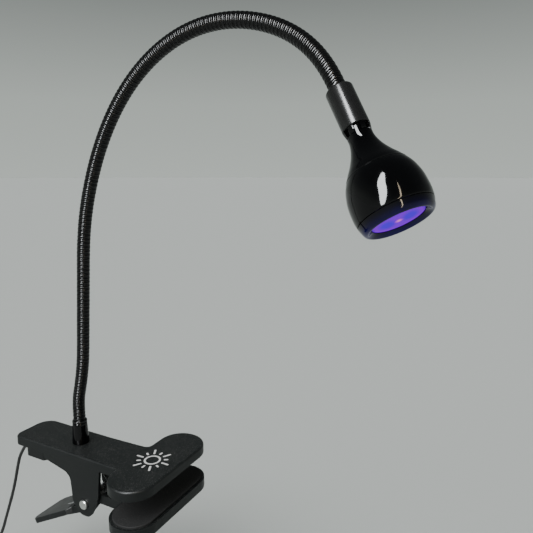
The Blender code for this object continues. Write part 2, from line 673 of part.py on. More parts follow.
def head_shells():
    """The visible shells of the head."""
    place = head_frame()
    sleeve = turned([(5.5, SLEEVE_START), (7.0, SLEEVE_START), (SLEEVE_RADIUS, SLEEVE_START + 0.7),
                     (SLEEVE_RADIUS, SLEEVE_END), (5.0, SLEEVE_END), (5.0, 20.0), (4.0, 19.0), (4.0, 9.5),
                     (5.5, 9.0)], HEAD_SIDES)
    add("head_sleeve", sleeve, "gloss_black_plastic", place)
    low = SLEEVE_END + GAP
    teeth = []
    count = 7
    for i in range(count):
        for radius, share in ((7.3, 0.0), (7.3, 0.24), (7.3, 0.48), (6.2, 0.48), (6.2, 1.0)):
            angle = math.tau * (i + share) / count
            teeth.append((radius * math.cos(angle), radius * math.sin(angle)))
    slotted = add("neck_ring", prism(teeth, low, low + RING_LENGTH), "gloss_black_plastic", place)
    combine(slotted, cylinder(4.4, low - 2.0, low + RING_LENGTH + 2.0, HEAD_SIDES), "DIFFERENCE", place)
    add("neck_shell", turned(shell_profile(NECK_START, NECK_END), HEAD_SIDES), "gloss_black_plastic", place)
    bulb = shell_profile(NECK_END, BULB_END)
    bulb = [(radius, along + GAP if along == NECK_END else along) for radius, along in bulb]
    add("bulb_shell", turned(bulb, HEAD_SIDES), "gloss_black_plastic", place)
    outer = [(radius, max(along, BULB_END + GAP)) for along, radius in HEAD_PROFILE if along >= BULB_END]
    seat = LENS_RADIUS + GAP
    funnel = [(16.4, HEAD_LENGTH), (seat, LENS_BACK + LENS_EDGE + 0.3), (seat, LENS_BACK - 0.4),
              (18.6, LENS_BACK - 1.4), (18.9, BULB_END + GAP)]
    add("front_bezel", turned(outer + funnel, HEAD_SIDES), "gloss_black_plastic", place)


def head_optics():
    """The lens, the reflector, the emitter on its board, and the heat sink behind them."""
    place = head_frame()
    edge = LENS_BACK + LENS_EDGE
    lens = turned([(0.0, LENS_BACK), (LENS_RADIUS, LENS_BACK), (LENS_RADIUS, edge - 0.3), (LENS_RADIUS - 0.4, edge),
                   (9.0, LENS_BACK + LENS_THICK - 0.2), (4.5, LENS_BACK + LENS_THICK), (0.0, LENS_BACK + LENS_THICK)],
                  HEAD_SIDES, closed=False)
    add("lens", lens, "violet_lens", place)
    low, high = LENS_BACK - 6.7, LENS_BACK - GAP
    bowl = turned([(3.6, low), (4.6, low), (14.0, high - 0.8), (14.0, high), (13.0, high), (3.6, low + 0.9)],
                  HEAD_SIDES)
    add("reflector", bowl, "mirror_plastic", place)
    board_top = low - GAP
    board = add("led_board", cylinder(10.5, board_top - 1.6, board_top), "board_white", place)
    emitter = turned([(0.0, board_top + GAP), (2.4, board_top + GAP), (2.4, board_top + 1.2), (1.4, board_top + 2.2),
                      (0.0, board_top + 2.5)], 12, closed=False)
    add("led_emitter", emitter, "emitter_yellow", place)
    sink_top = board_top - 1.6 - GAP
    sink_low = 60.0
    fins = []
    count = 12
    for i in range(count):
        for radius, share in ((15.5, 0.0), (15.5, 0.3), (9.0, 0.4), (9.0, 0.9)):
            angle = math.tau * (i + share) / count
            fins.append((radius * math.cos(angle), radius * math.sin(angle)))
    sink = add("heat_sink", prism(fins, sink_low, sink_top), "aluminium", place)
    for side, label in ((-1.0, "a"), (1.0, "b")):
        at = place @ Matrix.Translation((0.0, side * 7.8, 0.0))
        hole = cylinder(1.2, sink_top - 5.0, board_top + 2.0, 12)
        combine(board, hole, "DIFFERENCE", at)
        combine(sink, cylinder(1.2, sink_top - 5.0, sink_top + 2.0, 12), "DIFFERENCE", at)
        top = board_top + GAP
        screw = turned([(0.0, sink_top - 4.0), (0.9, sink_top - 4.0), (0.9, top), (1.9, top), (1.9, top + 0.7),
                        (0.0, top + 0.7)], 12, closed=False)
        add(f"led_board_screw_{label}", screw, "zinc_steel", at)


# --- cord, switch and plug -----------------------------------------------------------------------

CORD_SPACING = 7.0
CORD_LOW = FLOOR + CORD_RADIUS
DROP_ROUTE = (
    tuple(CORD_EXIT), (-134.6, -9.0, -2.4), (-139.5, -9.0, -7.5), (-145.7, -9.0, -16.7), (-149.7, -9.0, -26.2),
    (-154.3, -9.0, -40.1), (-159.4, -9.0, -54.3), (-165.8, -9.0, -69.4), (-173.4, -9.0, -86.5),
    (-181.4, -9.5, -105.0), (-185.6, -12.5, -113.2), (-189.6, -19.0, -117.6), (-190.5, -29.0, CORD_LOW),
    (-187.5, -42.0, CORD_LOW), (-180.5, -55.0, CORD_LOW), (-170.0, -65.0, CORD_LOW + 0.4),
    (-159.0, -70.0, CORD_LOW + 2.6), (SWITCH_REAR - GAP, SWITCH_Y, FLOOR + SWITCH_MIDDLE),
)
LINK_ROUTE = (
    (SWITCH_FRONT + GAP, SWITCH_Y, FLOOR + SWITCH_MIDDLE), (-94.0, SWITCH_Y, FLOOR + 4.8),
    (-86.0, SWITCH_Y, FLOOR + 3.4), (-79.0, SWITCH_Y, FLOOR + COIL_LIFT + CORD_RADIUS),
    (-72.9, SWITCH_Y, FLOOR + COIL_LIFT + CORD_RADIUS),
)
COIL_TOP = FLOOR + COIL_LIFT + 2 * CORD_RADIUS * COIL_ROWS
TAIL_ROUTE = (
    (-50.9, SWITCH_Y, COIL_TOP - CORD_RADIUS - 0.2), (-43.0, -71.2, COIL_TOP - 3.0), (-34.0, -71.6, FLOOR + 6.4),
    (-24.0, -72.0, FLOOR + 4.3), (PLUG_REAR - GAP, PLUG_Y, FLOOR + PLUG_MIDDLE),
)


def cord():
    """The cord's runs, its coil and the tie round the coil."""
    for name, route in (("cord_drop", DROP_ROUTE), ("cord_link", LINK_ROUTE), ("cord_tail", TAIL_ROUTE)):
        wire(name, smooth_route(route, CORD_SPACING), CORD_RADIUS, "cord_black")
    half = CORD_RADIUS * COIL_COLUMNS
    low, high = FLOOR + COIL_LIFT, COIL_TOP
    inner, outer, round_off = COIL_RADIUS - half, COIL_RADIUS + half, 1.0
    profile = [(inner, low + round_off), (inner + round_off, low), (outer - round_off, low),
               (outer, low + round_off), (outer, high - round_off), (outer - round_off, high),
               (inner + round_off, high), (inner, high - round_off)]
    place = Matrix.Translation((*COIL_CENTRE, 0.0))
    add("cord_coil", turned(profile, 32), "cord_black", place)
    width, height = 2 * (half + GAP), high - low + 2 * GAP
    thick = 0.7
    band = add("coil_tie", prism(oblong(width + 2 * thick, height + 2 * thick, 1.2), -1.6, 1.6), "white_plastic")
    at = Matrix.Translation((COIL_CENTRE[0], COIL_CENTRE[1] + COIL_RADIUS, (low + high) / 2))
    turn = Matrix.Rotation(math.radians(90.0), 4, "Y") @ Matrix.Rotation(math.radians(90.0), 4, "Z")
    move = (at @ turn).copy()
    move.translation *= MM
    band.matrix_world = move
    combine(band, prism(oblong(width, height, 0.8), -4.0, 4.0), "DIFFERENCE", at @ turn)


def switch_outline(inset=0.0):
    """The switch's plan: a body that narrows to the cord at both ends."""
    x = (SWITCH_FRONT - SWITCH_REAR) / 2 - inset
    body, end = 8.5 - inset, 3.2
    return rounded([
        (-x, -end, 1.0), (-x + 9.0, -body, 5.0), (x - 9.0, -body, 5.0), (x, -end, 1.0),
        (x, end, 1.0), (x - 9.0, body, 5.0), (-x + 9.0, body, 5.0), (-x, end, 1.0),
    ], 25.0)


ROCKER_TILT = math.radians(9.0)
ROCKER_PIVOT_HEIGHT = 8.2


def switch():
    """The in-line switch: base, cover, rocker and screws."""
    middle = (SWITCH_REAR + SWITCH_FRONT) / 2
    place = Matrix.Translation((middle, SWITCH_Y, FLOOR))
    split = SWITCH_MIDDLE - GAP / 2
    base = add("switch_base", prism(switch_outline(), 0.0, split), "matte_black_plastic", place)
    combine(base, prism(oblong(24.0, 12.0, 2.0), 1.6, split + 2.0), "DIFFERENCE", place)
    lid = add("switch_cover", prism(switch_outline(), split + GAP, SWITCH_TOP, soften=1.2), "matte_black_plastic",
              place)
    combine(lid, prism(oblong(24.0, 12.0, 2.0), split - 2.0, SWITCH_TOP - 1.6), "DIFFERENCE", place)
    combine(lid, block((-8.0, -4.5, SWITCH_TOP - 4.0), (8.0, 4.5, SWITCH_TOP + 4.0)), "DIFFERENCE", place)
    for side, label in ((-1.0, "rear"), (1.0, "front")):
        at = place @ Matrix.Translation((side * 14.6, 0.0, 0.0))
        combine(base, cylinder(1.3, -1.0, 8.0, 12), "DIFFERENCE", at)
        combine(base, cylinder(2.4, -1.0, 1.4, 12), "DIFFERENCE", at)
        combine(lid, cylinder(1.3, 4.0, 9.6, 12), "DIFFERENCE", at)
        screw = turned([(0.0, 0.2), (2.0, 0.2), (2.0, 1.1), (1.0, 1.1), (1.0, 9.0), (0.0, 9.0)], 12, closed=False)
        add(f"switch_screw_{label}", screw, "zinc_steel", at)
    high, low = 5.2, -1.4
    key = [(-7.2, 3.4), (-6.6, low), (6.6, low), (7.2, 3.4), (7.2, high), (0.0, 3.7), (-7.2, high)]
    pivot_place = Matrix.Translation((middle, SWITCH_Y, FLOOR + ROCKER_PIVOT_HEIGHT))
    tilted = pivot_place @ Matrix.Rotation(ROCKER_TILT, 4, "Y") @ UPRIGHT
    add("switch_rocker", prism(key, -4.0, 4.0), "white_plastic", tilted)


def plug():
    """The plug: moulded grip, metal shell and the tongue inside it."""
    length = PLUG_FRONT - PLUG_REAR
    turn = axis_place((PLUG_REAR, PLUG_Y, FLOOR + PLUG_MIDDLE), (1.0, 0.0, 0.0))
    add("plug_grip", prism(oblong(14.6, 7.6, 2.2), 0.0, length), "matte_black_plastic", turn)
    low = length + GAP
    high = low + 18.5
    shell = add("plug_shell", prism(oblong(12.0, 4.5, 0.6), low, high), "zinc_steel", turn)
    combine(shell, prism(oblong(11.2, 3.7, 0.4), low + 0.5, high + 2.0), "DIFFERENCE", turn)
    tongue = block((-5.2, -1.5, low + 0.8), (5.2, 0.1, high - 1.0))
    add("plug_tongue", tongue, "white_plastic", turn)


def main():
    """Clears the scene and builds every piece."""
    for item in list(bpy.data.objects):
        bpy.data.objects.remove(item, do_unlink=True)
    upper_jaw()
    lower_jaw()
    pivot()
    spring()
    collar()
    wiring_cover()
    inner_wires()
    hose_links()
    head_shells()
    head_optics()
    cord()
    switch()
    plug()


main()
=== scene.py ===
"""Looks of a clamp-on gooseneck curing lamp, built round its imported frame.

The frame gives every body, joint and CAD solid in metres. Shapes here are drawn in millimetres in the same
axes: +X from the handle's rear to the jaws, +Y along the jaws, +Z up, with the origin on the upper pad's face.
"""
import logging
import math
from collections.abc import Iterable, Sequence
from dataclasses import dataclass, field
from enum import Enum

import bmesh
import bpy
from mathutils import Matrix, Vector

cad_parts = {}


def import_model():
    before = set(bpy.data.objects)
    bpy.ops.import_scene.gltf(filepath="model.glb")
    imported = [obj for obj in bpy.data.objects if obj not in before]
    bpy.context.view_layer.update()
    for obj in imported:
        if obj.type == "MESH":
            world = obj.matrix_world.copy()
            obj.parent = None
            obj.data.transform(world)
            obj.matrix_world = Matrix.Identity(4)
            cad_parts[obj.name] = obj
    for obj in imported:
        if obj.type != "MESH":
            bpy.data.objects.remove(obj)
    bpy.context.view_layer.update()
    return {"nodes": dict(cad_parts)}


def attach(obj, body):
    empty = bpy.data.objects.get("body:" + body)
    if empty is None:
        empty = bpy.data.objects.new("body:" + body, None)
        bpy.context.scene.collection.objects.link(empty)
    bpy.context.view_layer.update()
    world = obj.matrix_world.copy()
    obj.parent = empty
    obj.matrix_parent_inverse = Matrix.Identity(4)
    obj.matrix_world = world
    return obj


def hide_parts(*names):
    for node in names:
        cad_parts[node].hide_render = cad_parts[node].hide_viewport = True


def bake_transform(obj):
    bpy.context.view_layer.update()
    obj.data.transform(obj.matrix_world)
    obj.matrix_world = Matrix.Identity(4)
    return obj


LOG = logging.getLogger("curing_lamp")

MM = 0.001
FULL_TURN = math.tau
# Steps between two of a route's points, before it is spaced evenly
FINE_STEPS = 24
# Rounding of a moulding's edges, in millimetres
MOULD_ROUND = 0.4

Colour = tuple[float, float, float]
Point = tuple[float, float, float]
Pair = tuple[float, float]
Profile = Sequence[Pair]
Ring = list[Vector]
Form = bmesh.types.BMesh
Item = bpy.types.Object
Socket = bpy.types.NodeSocket


class Slot(Enum):
    """Names of the material slots that the finishes of new pieces belong to."""

    JAW = "jaw_plastic"
    PAD = "pad_rubber"
    GLOSS = "gloss_plastic"
    HOSE = "hose_metal"
    SHEATH = "cord_sheath"
    WHITE = "white_plastic"
    LENS = "lens_plastic"


class Joining(Enum):
    """How a second form changes the one it meets."""

    UNION = "UNION"
    CUT = "DIFFERENCE"


# --- forms in millimetres ------------------------------------------------------------------------


def ring(radius: float, height: float, sides: int) -> Ring:
    """Points of a circle about Z, or its centre alone.

    Args:
        radius: The circle's radius; zero gives one point.
        height: Its place along Z.
        sides: How many points it has.

    Returns:
        The points in order.
    """
    if radius == 0.0:
        return [Vector((0.0, 0.0, height))]
    angles = [FULL_TURN * i / sides for i in range(sides)]
    return [Vector((radius * math.cos(a), radius * math.sin(a), height)) for a in angles]


def loft(rings: Sequence[Ring], closed: bool = False) -> Form:
    """A skin through rings of equally many points.

    Args:
        rings: The rings in order; a ring of one point closes an end.
        closed: Whether the last ring is joined to the first.

    Returns:
        The skin as a new bmesh.
    """
    form = bmesh.new()
    rows = [[form.verts.new(point) for point in each] for each in rings]
    pairs = list(zip(rows, rows[1:]))
    if closed:
        pairs.append((rows[-1], rows[0]))
    for low, high in pairs:
        count = max(len(low), len(high))
        for i in range(count):
            j = (i + 1) % count
            corners = [low[i % len(low)], low[j % len(low)], high[j % len(high)], high[i % len(high)]]
            form.faces.new(list(dict.fromkeys(corners)))
    return form


def turned(profile: Profile, sides: int = 64, closed: bool = True) -> Form:
    """A turned form about Z.

    Args:
        profile: (radius, height) points in order.
        sides: How many sides a full turn has.
        closed: Whether the profile's last point joins its first.

    Returns:
        The form as a new bmesh.
    """
    return loft([ring(radius, height, sides) for radius, height in profile], closed)


def rounded(corners: Sequence[Point], step: float = 6.0) -> list[Vector]:
    """An outline through corners, each turned into an arc.

    Args:
        corners: (x, y, radius) in order.
        step: The turn of one piece of an arc, in degrees.

    Returns:
        The outline's points.
    """
    outline: list[Vector] = []
    count = len(corners)
    for i, (x, y, radius) in enumerate(corners):
        here = Vector((x, y))
        if radius == 0.0:
            outline.append(here)
            continue
        back = (Vector(corners[i - 1][:2]) - here).normalized()
        ahead = (Vector(corners[(i + 1) % count][:2]) - here).normalized()
        half = back.angle(ahead) / 2
        reach = radius / math.tan(half)
        centre = here + (back + ahead).normalized() * (radius / math.sin(half))
        start = here + back * reach - centre
        swing = start.angle_signed(here + ahead * reach - centre)
        pieces = max(2, round(abs(math.degrees(swing)) / step))
        for k in range(pieces + 1):
            outline.append(centre + Matrix.Rotation(-swing * k / pieces, 2) @ start)
    return outline


def prism(outline: Iterable[Sequence[float]], low: float, high: float, soften: float = 0.0) -> Form:
    """An outline in XY extruded along Z.

    Args:
        outline: The outline's points.
        low: Where it starts.
        high: Where it ends.
        soften: Radius of the rim at its high end.

    Returns:
        The form as a new bmesh.
    """
    form = bmesh.new()
    base = form.faces.new([form.verts.new((point[0], point[1], low)) for point in outline])
    lifted = bmesh.ops.extrude_face_region(form, geom=[base])["geom"]
    top = [item for item in lifted if isinstance(item, bmesh.types.BMVert)]
    bmesh.ops.translate(form, verts=top, vec=(0.0, 0.0, high - low))
    if soften:
        rim = [edge for edge in form.edges if all(abs(v.co.z - high) < 1e-5 for v in edge.verts)]
        bmesh.ops.bevel(form, geom=rim, offset=soften, segments=4, profile=0.5, affect="EDGES")
    return form


def cylinder(radius: float, low: float, high: float, sides: int = 48) -> Form:
    """A plain solid cylinder about Z, used as a tool."""
    return prism(ring(radius, 0.0, sides), low, high)


def block(low: Point, high: Point) -> Form:
    """A box between two corners, used as a tool."""
    outline = [(low[0], low[1]), (high[0], low[1]), (high[0], high[1]), (low[0], high[1])]
    return prism(outline, low[2], high[2])


def oblong(length_x: float, length_y: float, radius: float, step: float = 6.0) -> list[Vector]:
    """The outline of a rounded rectangle centred on the origin."""
    x, y = length_x / 2, length_y / 2
    return rounded([(-x, -y, radius), (x, -y, radius), (x, y, radius), (-x, y, radius)], step)


def axis_place(point: Sequence[float], direction: Sequence[float], towards: Point = (0.0, 1.0, 0.0)) -> Matrix:
    """A matrix that stands a form's Z along a direction.

    Args:
        point: Where the form's origin goes.
        direction: Where its Z points.
        towards: Where its Y points, as near as it can.

    Returns:
        The matrix, in millimetres.
    """
    up = Vector(direction).normalized()
    side = Vector(towards).cross(up).normalized()
    front = up.cross(side)
    return Matrix.Translation(Vector(point)) @ Matrix((side, front, up)).transposed().to_4x4()


# An outline drawn in X and Z and extruded along Y; its low end becomes the +Y side
UPRIGHT = Matrix.Rotation(math.radians(90.0), 4, "X")


def smooth_route(points: Sequence[Sequence[float]], spacing: float) -> list[Vector]:
    """Evenly spaced points on a smooth curve through the given ones.

    Args:
        points: The route's own points.
        spacing: The distance between two points of the result.

    Returns:
        The curve's points.
    """
    knots = [Vector(p) for p in points]
    knots = [2 * knots[0] - knots[1], *knots, 2 * knots[-1] - knots[-2]]
    fine: list[Vector] = []
    for a, b, c, d in zip(knots, knots[1:], knots[2:], knots[3:]):
        for k in range(FINE_STEPS):
            t = k / FINE_STEPS
            fine.append(0.5 * (2 * b + (c - a) * t + (2 * a - 5 * b + 4 * c - d) * t * t
                               + (3 * b - 3 * c + d - a) * t ** 3))
    fine.append(knots[-2])
    runs = [0.0]
    for a, b in zip(fine, fine[1:]):
        runs.append(runs[-1] + (b - a).length)
    count = max(2, round(runs[-1] / spacing))
    route: list[Vector] = []
    k = 0
    for i in range(count + 1):
        want = runs[-1] * i / count
        while k < len(runs) - 2 and runs[k + 1] < want:
            k += 1
        share = (want - runs[k]) / (runs[k + 1] - runs[k])
        route.append(fine[k].lerp(fine[k + 1], min(1.0, share)))
    return route


def smooth_profile(points: Profile, spacing: float) -> list[Pair]:
    """A smooth (radius, height) profile through the given points."""
    route = smooth_route([(radius, height, 0.0) for radius, height in points], spacing)
    return [(max(0.0, p.x), p.y) for p in route]


# --- objects -------------------------------------------------------------------------------------


def to_metres(place: Matrix | None) -> Matrix:
    """The same placing in metres."""
    move = place.copy() if place else Matrix()
    move.translation *= MM
    return move


def link(name: str, data: bpy.types.ID, place: Matrix | None = None) -> Item:
    """Makes an object of the data and links it to the scene.

    Args:
        name: The object's name.
        data: Its mesh or curve.
        place: Its placing, in millimetres.

    Returns:
        The object.
    """
    item = bpy.data.objects.new(name, data)
    bpy.context.scene.collection.objects.link(item)
    item.matrix_world = to_metres(place)
    return item


def solid(name: str, form: Form, place: Matrix | None = None, sharp: float = 35.0) -> Item:
    """Turns a bmesh in millimetres into a named object.

    Args:
        name: The object's name.
        form: The bmesh, which is used up.
        place: Its placing, in millimetres.
        sharp: Edges that turn by more than this many degrees stay sharp.

    Returns:
        The object.
    """
    bmesh.ops.recalc_face_normals(form, faces=form.faces)
    bmesh.ops.scale(form, vec=(MM, MM, MM), verts=form.verts)
    mesh = bpy.data.meshes.new(name)
    form.to_mesh(mesh)
    form.free()
    mesh.shade_smooth()
    mesh.set_sharp_from_angle(angle=math.radians(sharp))
    return link(name, mesh, place)


def combine(target: Item, form: Form, how: Joining, place: Matrix | None = None) -> None:
    """Joins a form to an object, or cuts it away, and keeps only the result.

    Args:
        target: The object to change.
        form: The other form, in millimetres.
        how: Whether it is joined or cut away.
        place: Its placing, in millimetres.
    """
    tool = solid(f"{target.name}_tool", form, place)
    modifier = target.modifiers.new("tool", "BOOLEAN")
    modifier.operation = how.value
    modifier.solver = "EXACT"
    modifier.object = tool
    settle(target)
    bpy.data.objects.remove(tool, do_unlink=True)


def settle(item: Item) -> None:
    """Applies an object's modifiers to its mesh."""
    bpy.context.view_layer.update()
    graph = bpy.context.evaluated_depsgraph_get()
    mesh = bpy.data.meshes.new_from_object(item.evaluated_get(graph))
    item.modifiers.clear()
    item.data = mesh


def soften_edges(item: Item, width: float, segments: int = 3, angle: float = 32.0) -> None:
    """Rounds an object's sharp edges and smooths its shading.

    Args:
        item: The object.
        width: The rounding's width, in millimetres.
        segments: How many faces the rounding has.
        angle: Edges that turn by more than this many degrees are rounded.
    """
    bevel = item.modifiers.new("edges", "BEVEL")
    bevel.width = width * MM
    bevel.segments = segments
    bevel.limit_method = "ANGLE"
    bevel.angle_limit = math.radians(angle)
    bevel.use_clamp_overlap = True
    bevel.miter_outer = "MITER_ARC"
    normals = item.modifiers.new("normals", "WEIGHTED_NORMAL")
    normals.keep_sharp = True


def tube(name: str, points: Sequence[Vector], radius: float, resolution: int = 4) -> Item:
    """A round wire along points, as a curve of one open spline.

    Args:
        name: The object's name.
        points: The wire's centre line, in millimetres.
        radius: The wire's radius, in millimetres.
        resolution: How finely its section is rounded.

    Returns:
        The object.
    """
    curve = bpy.data.curves.new(name, "CURVE")
    curve.dimensions = "3D"
    curve.bevel_depth = radius * MM
    curve.bevel_resolution = resolution
    curve.use_fill_caps = True
    spline = curve.splines.new("POLY")
    spline.points.add(len(points) - 1)
    for target, point in zip(spline.points, points):
        target.co = (*(point * MM), 1.0)
    return link(name, curve)



# --- shader groups -------------------------------------------------------------------------------

Input = float | Sequence[float] | Socket


class Graph:
    """Adds nodes to one node tree and links them as they are made."""

    def __init__(self, tree: bpy.types.NodeTree) -> None:
        """Starts on a tree, which may already hold nodes."""
        self.tree = tree

    def add(self, kind: str, inputs: dict[str | int, Input] | None = None, **settings: object) -> bpy.types.Node:
        """Adds one node.

        Args:
            kind: The node's type, without its leading ShaderNode.
            inputs: What goes into each input: a value or another node's output.
            **settings: The node's own properties.

        Returns:
            The node.
        """
        node = self.tree.nodes.new(f"ShaderNode{kind}")
        for key, value in settings.items():
            setattr(node, key, value)
        for key, value in (inputs or {}).items():
            self.feed(node.inputs[key], value)
        return node

    def feed(self, socket: Socket, value: Input) -> None:
        """Links an output to an input, or sets the input's value."""
        if isinstance(value, Socket):
            self.tree.links.new(value, socket)
        elif socket.type == "RGBA" and not isinstance(value, float) and len(value) == 3:
            socket.default_value = (*value, 1.0)
        else:
            socket.default_value = value

    def place(self, group: bpy.types.NodeTree, **inputs: Input) -> bpy.types.Node:
        """Places a node group with its own values."""
        node = self.add("Group", node_tree=group)
        for key, value in inputs.items():
            self.feed(node.inputs[key], value)
        return node

    def math(self, operation: str, *values: Input) -> Socket:
        """The output of a math node on the values."""
        return self.add("Math", dict(enumerate(values)), operation=operation).outputs[0]

    def noise(self, where: Input, scale: Input, detail: float, **more: Input) -> Socket:
        """The grey value of a noise texture."""
        return self.add("TexNoise", {"Vector": where, "Scale": scale, "Detail": detail, **more}).outputs["Fac"]

    def stretch(self, value: Input, low: float, high: float, least: Input = 0.0, most: Input = 1.0) -> Socket:
        """A value stretched from low and high to least and most, and held between them."""
        return self.add("MapRange", {"Value": value, "From Min": low, "From Max": high, "To Min": least,
                                     "To Max": most}).outputs["Result"]

    def mix(self, share: Input, first: Input, second: Input) -> Socket:
        """The first colour turned into the second by a share."""
        return self.add("Mix", {"Factor": share, "A": first, "B": second}, data_type="RGBA").outputs[2]

    def length(self, across: Input, along: Input) -> Socket:
        """The distance of a flat point from its origin."""
        flat = self.add("CombineXYZ", {"X": across, "Y": along}).outputs["Vector"]
        return self.add("VectorMath", {0: flat}, operation="LENGTH").outputs["Value"]

    def ramp(self, value: Input, stops: Sequence[tuple[float, Colour]]) -> Socket:
        """A colour read from stops along a value."""
        node = self.add("ValToRGB", {"Fac": value})
        points = node.color_ramp.elements
        points[0].position, points[0].color = stops[0][0], (*stops[0][1], 1.0)
        points[1].position, points[1].color = stops[-1][0], (*stops[-1][1], 1.0)
        for position, colour in stops[1:-1]:
            points.new(position).color = (*colour, 1.0)
        return node.outputs["Color"]


def new_group(name: str, inputs: dict[str, float | Colour], outputs: Sequence[str]
              ) -> tuple[Graph, bpy.types.NodeOutputs, bpy.types.NodeInputs]:
    """Starts a shader node group with named sockets.

    Args:
        name: The group's name.
        inputs: Each input's default value: a number or a colour. A place named Vector comes before them.
        outputs: Each output's name; one named Colour is a colour, and the others are numbers.

    Returns:
        A graph on the group's tree, what goes into the group, and where its results go.
    """
    tree = bpy.data.node_groups.new(name, "ShaderNodeTree")
    tree.interface.new_socket(name="Vector", in_out="INPUT", socket_type="NodeSocketVector")
    for label, default in inputs.items():
        kind = "Float" if isinstance(default, float) else "Color"
        socket = tree.interface.new_socket(name=label, in_out="INPUT", socket_type=f"NodeSocket{kind}")
        socket.default_value = default if isinstance(default, float) else (*default, 1.0)
    for label in outputs:
        kind = "Color" if label == "Colour" else "Float"
        tree.interface.new_socket(name=label, in_out="OUTPUT", socket_type=f"NodeSocket{kind}")
    inlet, outlet = tree.nodes.new("NodeGroupInput"), tree.nodes.new("NodeGroupOutput")
    return Graph(tree), inlet.outputs, outlet.inputs


class Effects:
    """The effects that several finishes share, each built once as a node group."""

    plain: Colour = (0.1, 0.1, 0.1)
    dust_colour: Colour = (0.45, 0.44, 0.42)

    def __init__(self) -> None:
        """Builds every group."""
        self.grain = self._grain()
        self.wear = self._wear()
        self.smudge = self._smudge()
        self.dust = self._dust()
        self.lay = self._lay()

    def _grain(self) -> bpy.types.NodeTree:
        """The fine spark texture of a mould, or the tooth of rubber."""
        graph, given, result = new_group("mould_grain", {"Scale": 900.0, "Pits": 0.4}, ["Height"])
        where, scale = given["Vector"], given["Scale"]
        fine = graph.noise(where, scale, 3.0, Roughness=0.6)
        cells = graph.add("TexVoronoi", {"Vector": where, "Scale": graph.math("MULTIPLY", scale, 0.7)})
        pits = graph.math("MULTIPLY", cells.outputs["Distance"], given["Pits"])
        graph.feed(result["Height"], graph.math("ADD", fine, pits))
        return graph.tree

    def _wear(self) -> bpy.types.NodeTree:
        """Edges rubbed lighter by handling, in broken patches."""
        graph, given, result = new_group("edge_wear", {"Colour": self.plain, "Worn": (0.3, 0.3, 0.3),
                                                       "Reach": 0.0006, "Amount": 0.5}, ["Colour"])
        soft = graph.add("Bevel", {"Radius": given["Reach"]}, samples=6).outputs["Normal"]
        flat = graph.add("NewGeometry").outputs["Normal"]
        turn = graph.add("VectorMath", {0: soft, 1: flat}, operation="DOT_PRODUCT").outputs["Value"]
        edge = graph.stretch(turn, 0.995, 0.86)
        broken = graph.stretch(graph.noise(given["Vector"], 260.0, 5.0), 0.42, 0.62)
        mask = graph.math("MULTIPLY", graph.math("MULTIPLY", edge, broken), given["Amount"])
        graph.feed(result["Colour"], graph.mix(mask, given["Colour"], given["Worn"]))
        return graph.tree

    def _smudge(self) -> bpy.types.NodeTree:
        """Slow changes of roughness, as polish and handling leave."""
        graph, given, result = new_group("smudge", {"Scale": 40.0, "Least": 0.3, "Most": 0.5}, ["Roughness"])
        broad = graph.noise(given["Vector"], given["Scale"], 6.0, Roughness=0.65, Distortion=0.4)
        graph.feed(result["Roughness"], graph.stretch(broad, 0.3, 0.7, given["Least"], given["Most"]))
        return graph.tree

    def _dust(self) -> bpy.types.NodeTree:
        """A little pale dust on what faces up."""
        graph, given, result = new_group("dust", {"Colour": self.plain, "Amount": 0.2}, ["Colour", "Mask"])
        up = graph.add("SeparateXYZ", {"Vector": graph.add("TexCoord").outputs["Normal"]}).outputs["Z"]
        facing = graph.stretch(up, 0.3, 0.95)
        specks = graph.stretch(graph.noise(given["Vector"], 1500.0, 2.0), 0.56, 0.7)
        mask = graph.math("MULTIPLY", facing, specks)
        mask = graph.math("MULTIPLY", mask, graph.noise(given["Vector"], 55.0, 3.0))
        mask = graph.math("MULTIPLY", mask, given["Amount"])
        graph.feed(result["Colour"], graph.mix(mask, given["Colour"], self.dust_colour))
        graph.feed(result["Mask"], mask)
        return graph.tree

    def _lay(self) -> bpy.types.NodeTree:
        """Fine lines that run round a turned or drawn piece."""
        graph, given, result = new_group("tool_lines", {"Scale": 4000.0}, ["Height"])
        stretched = graph.add("Mapping", {"Vector": given["Vector"], "Scale": (0.04, 0.04, 1.0)})
        graph.feed(result["Height"], graph.noise(stretched.outputs["Vector"], given["Scale"], 2.0))
        return graph.tree


# --- finishes ------------------------------------------------------------------------------------


def start_material(name: str) -> tuple[bpy.types.Material, Graph, bpy.types.NodeInputs]:
    """A new material, a graph on its tree, and its shader's inputs."""
    made = bpy.data.materials.new(name)
    made.use_nodes = True
    return made, Graph(made.node_tree), made.node_tree.nodes["Principled BSDF"].inputs


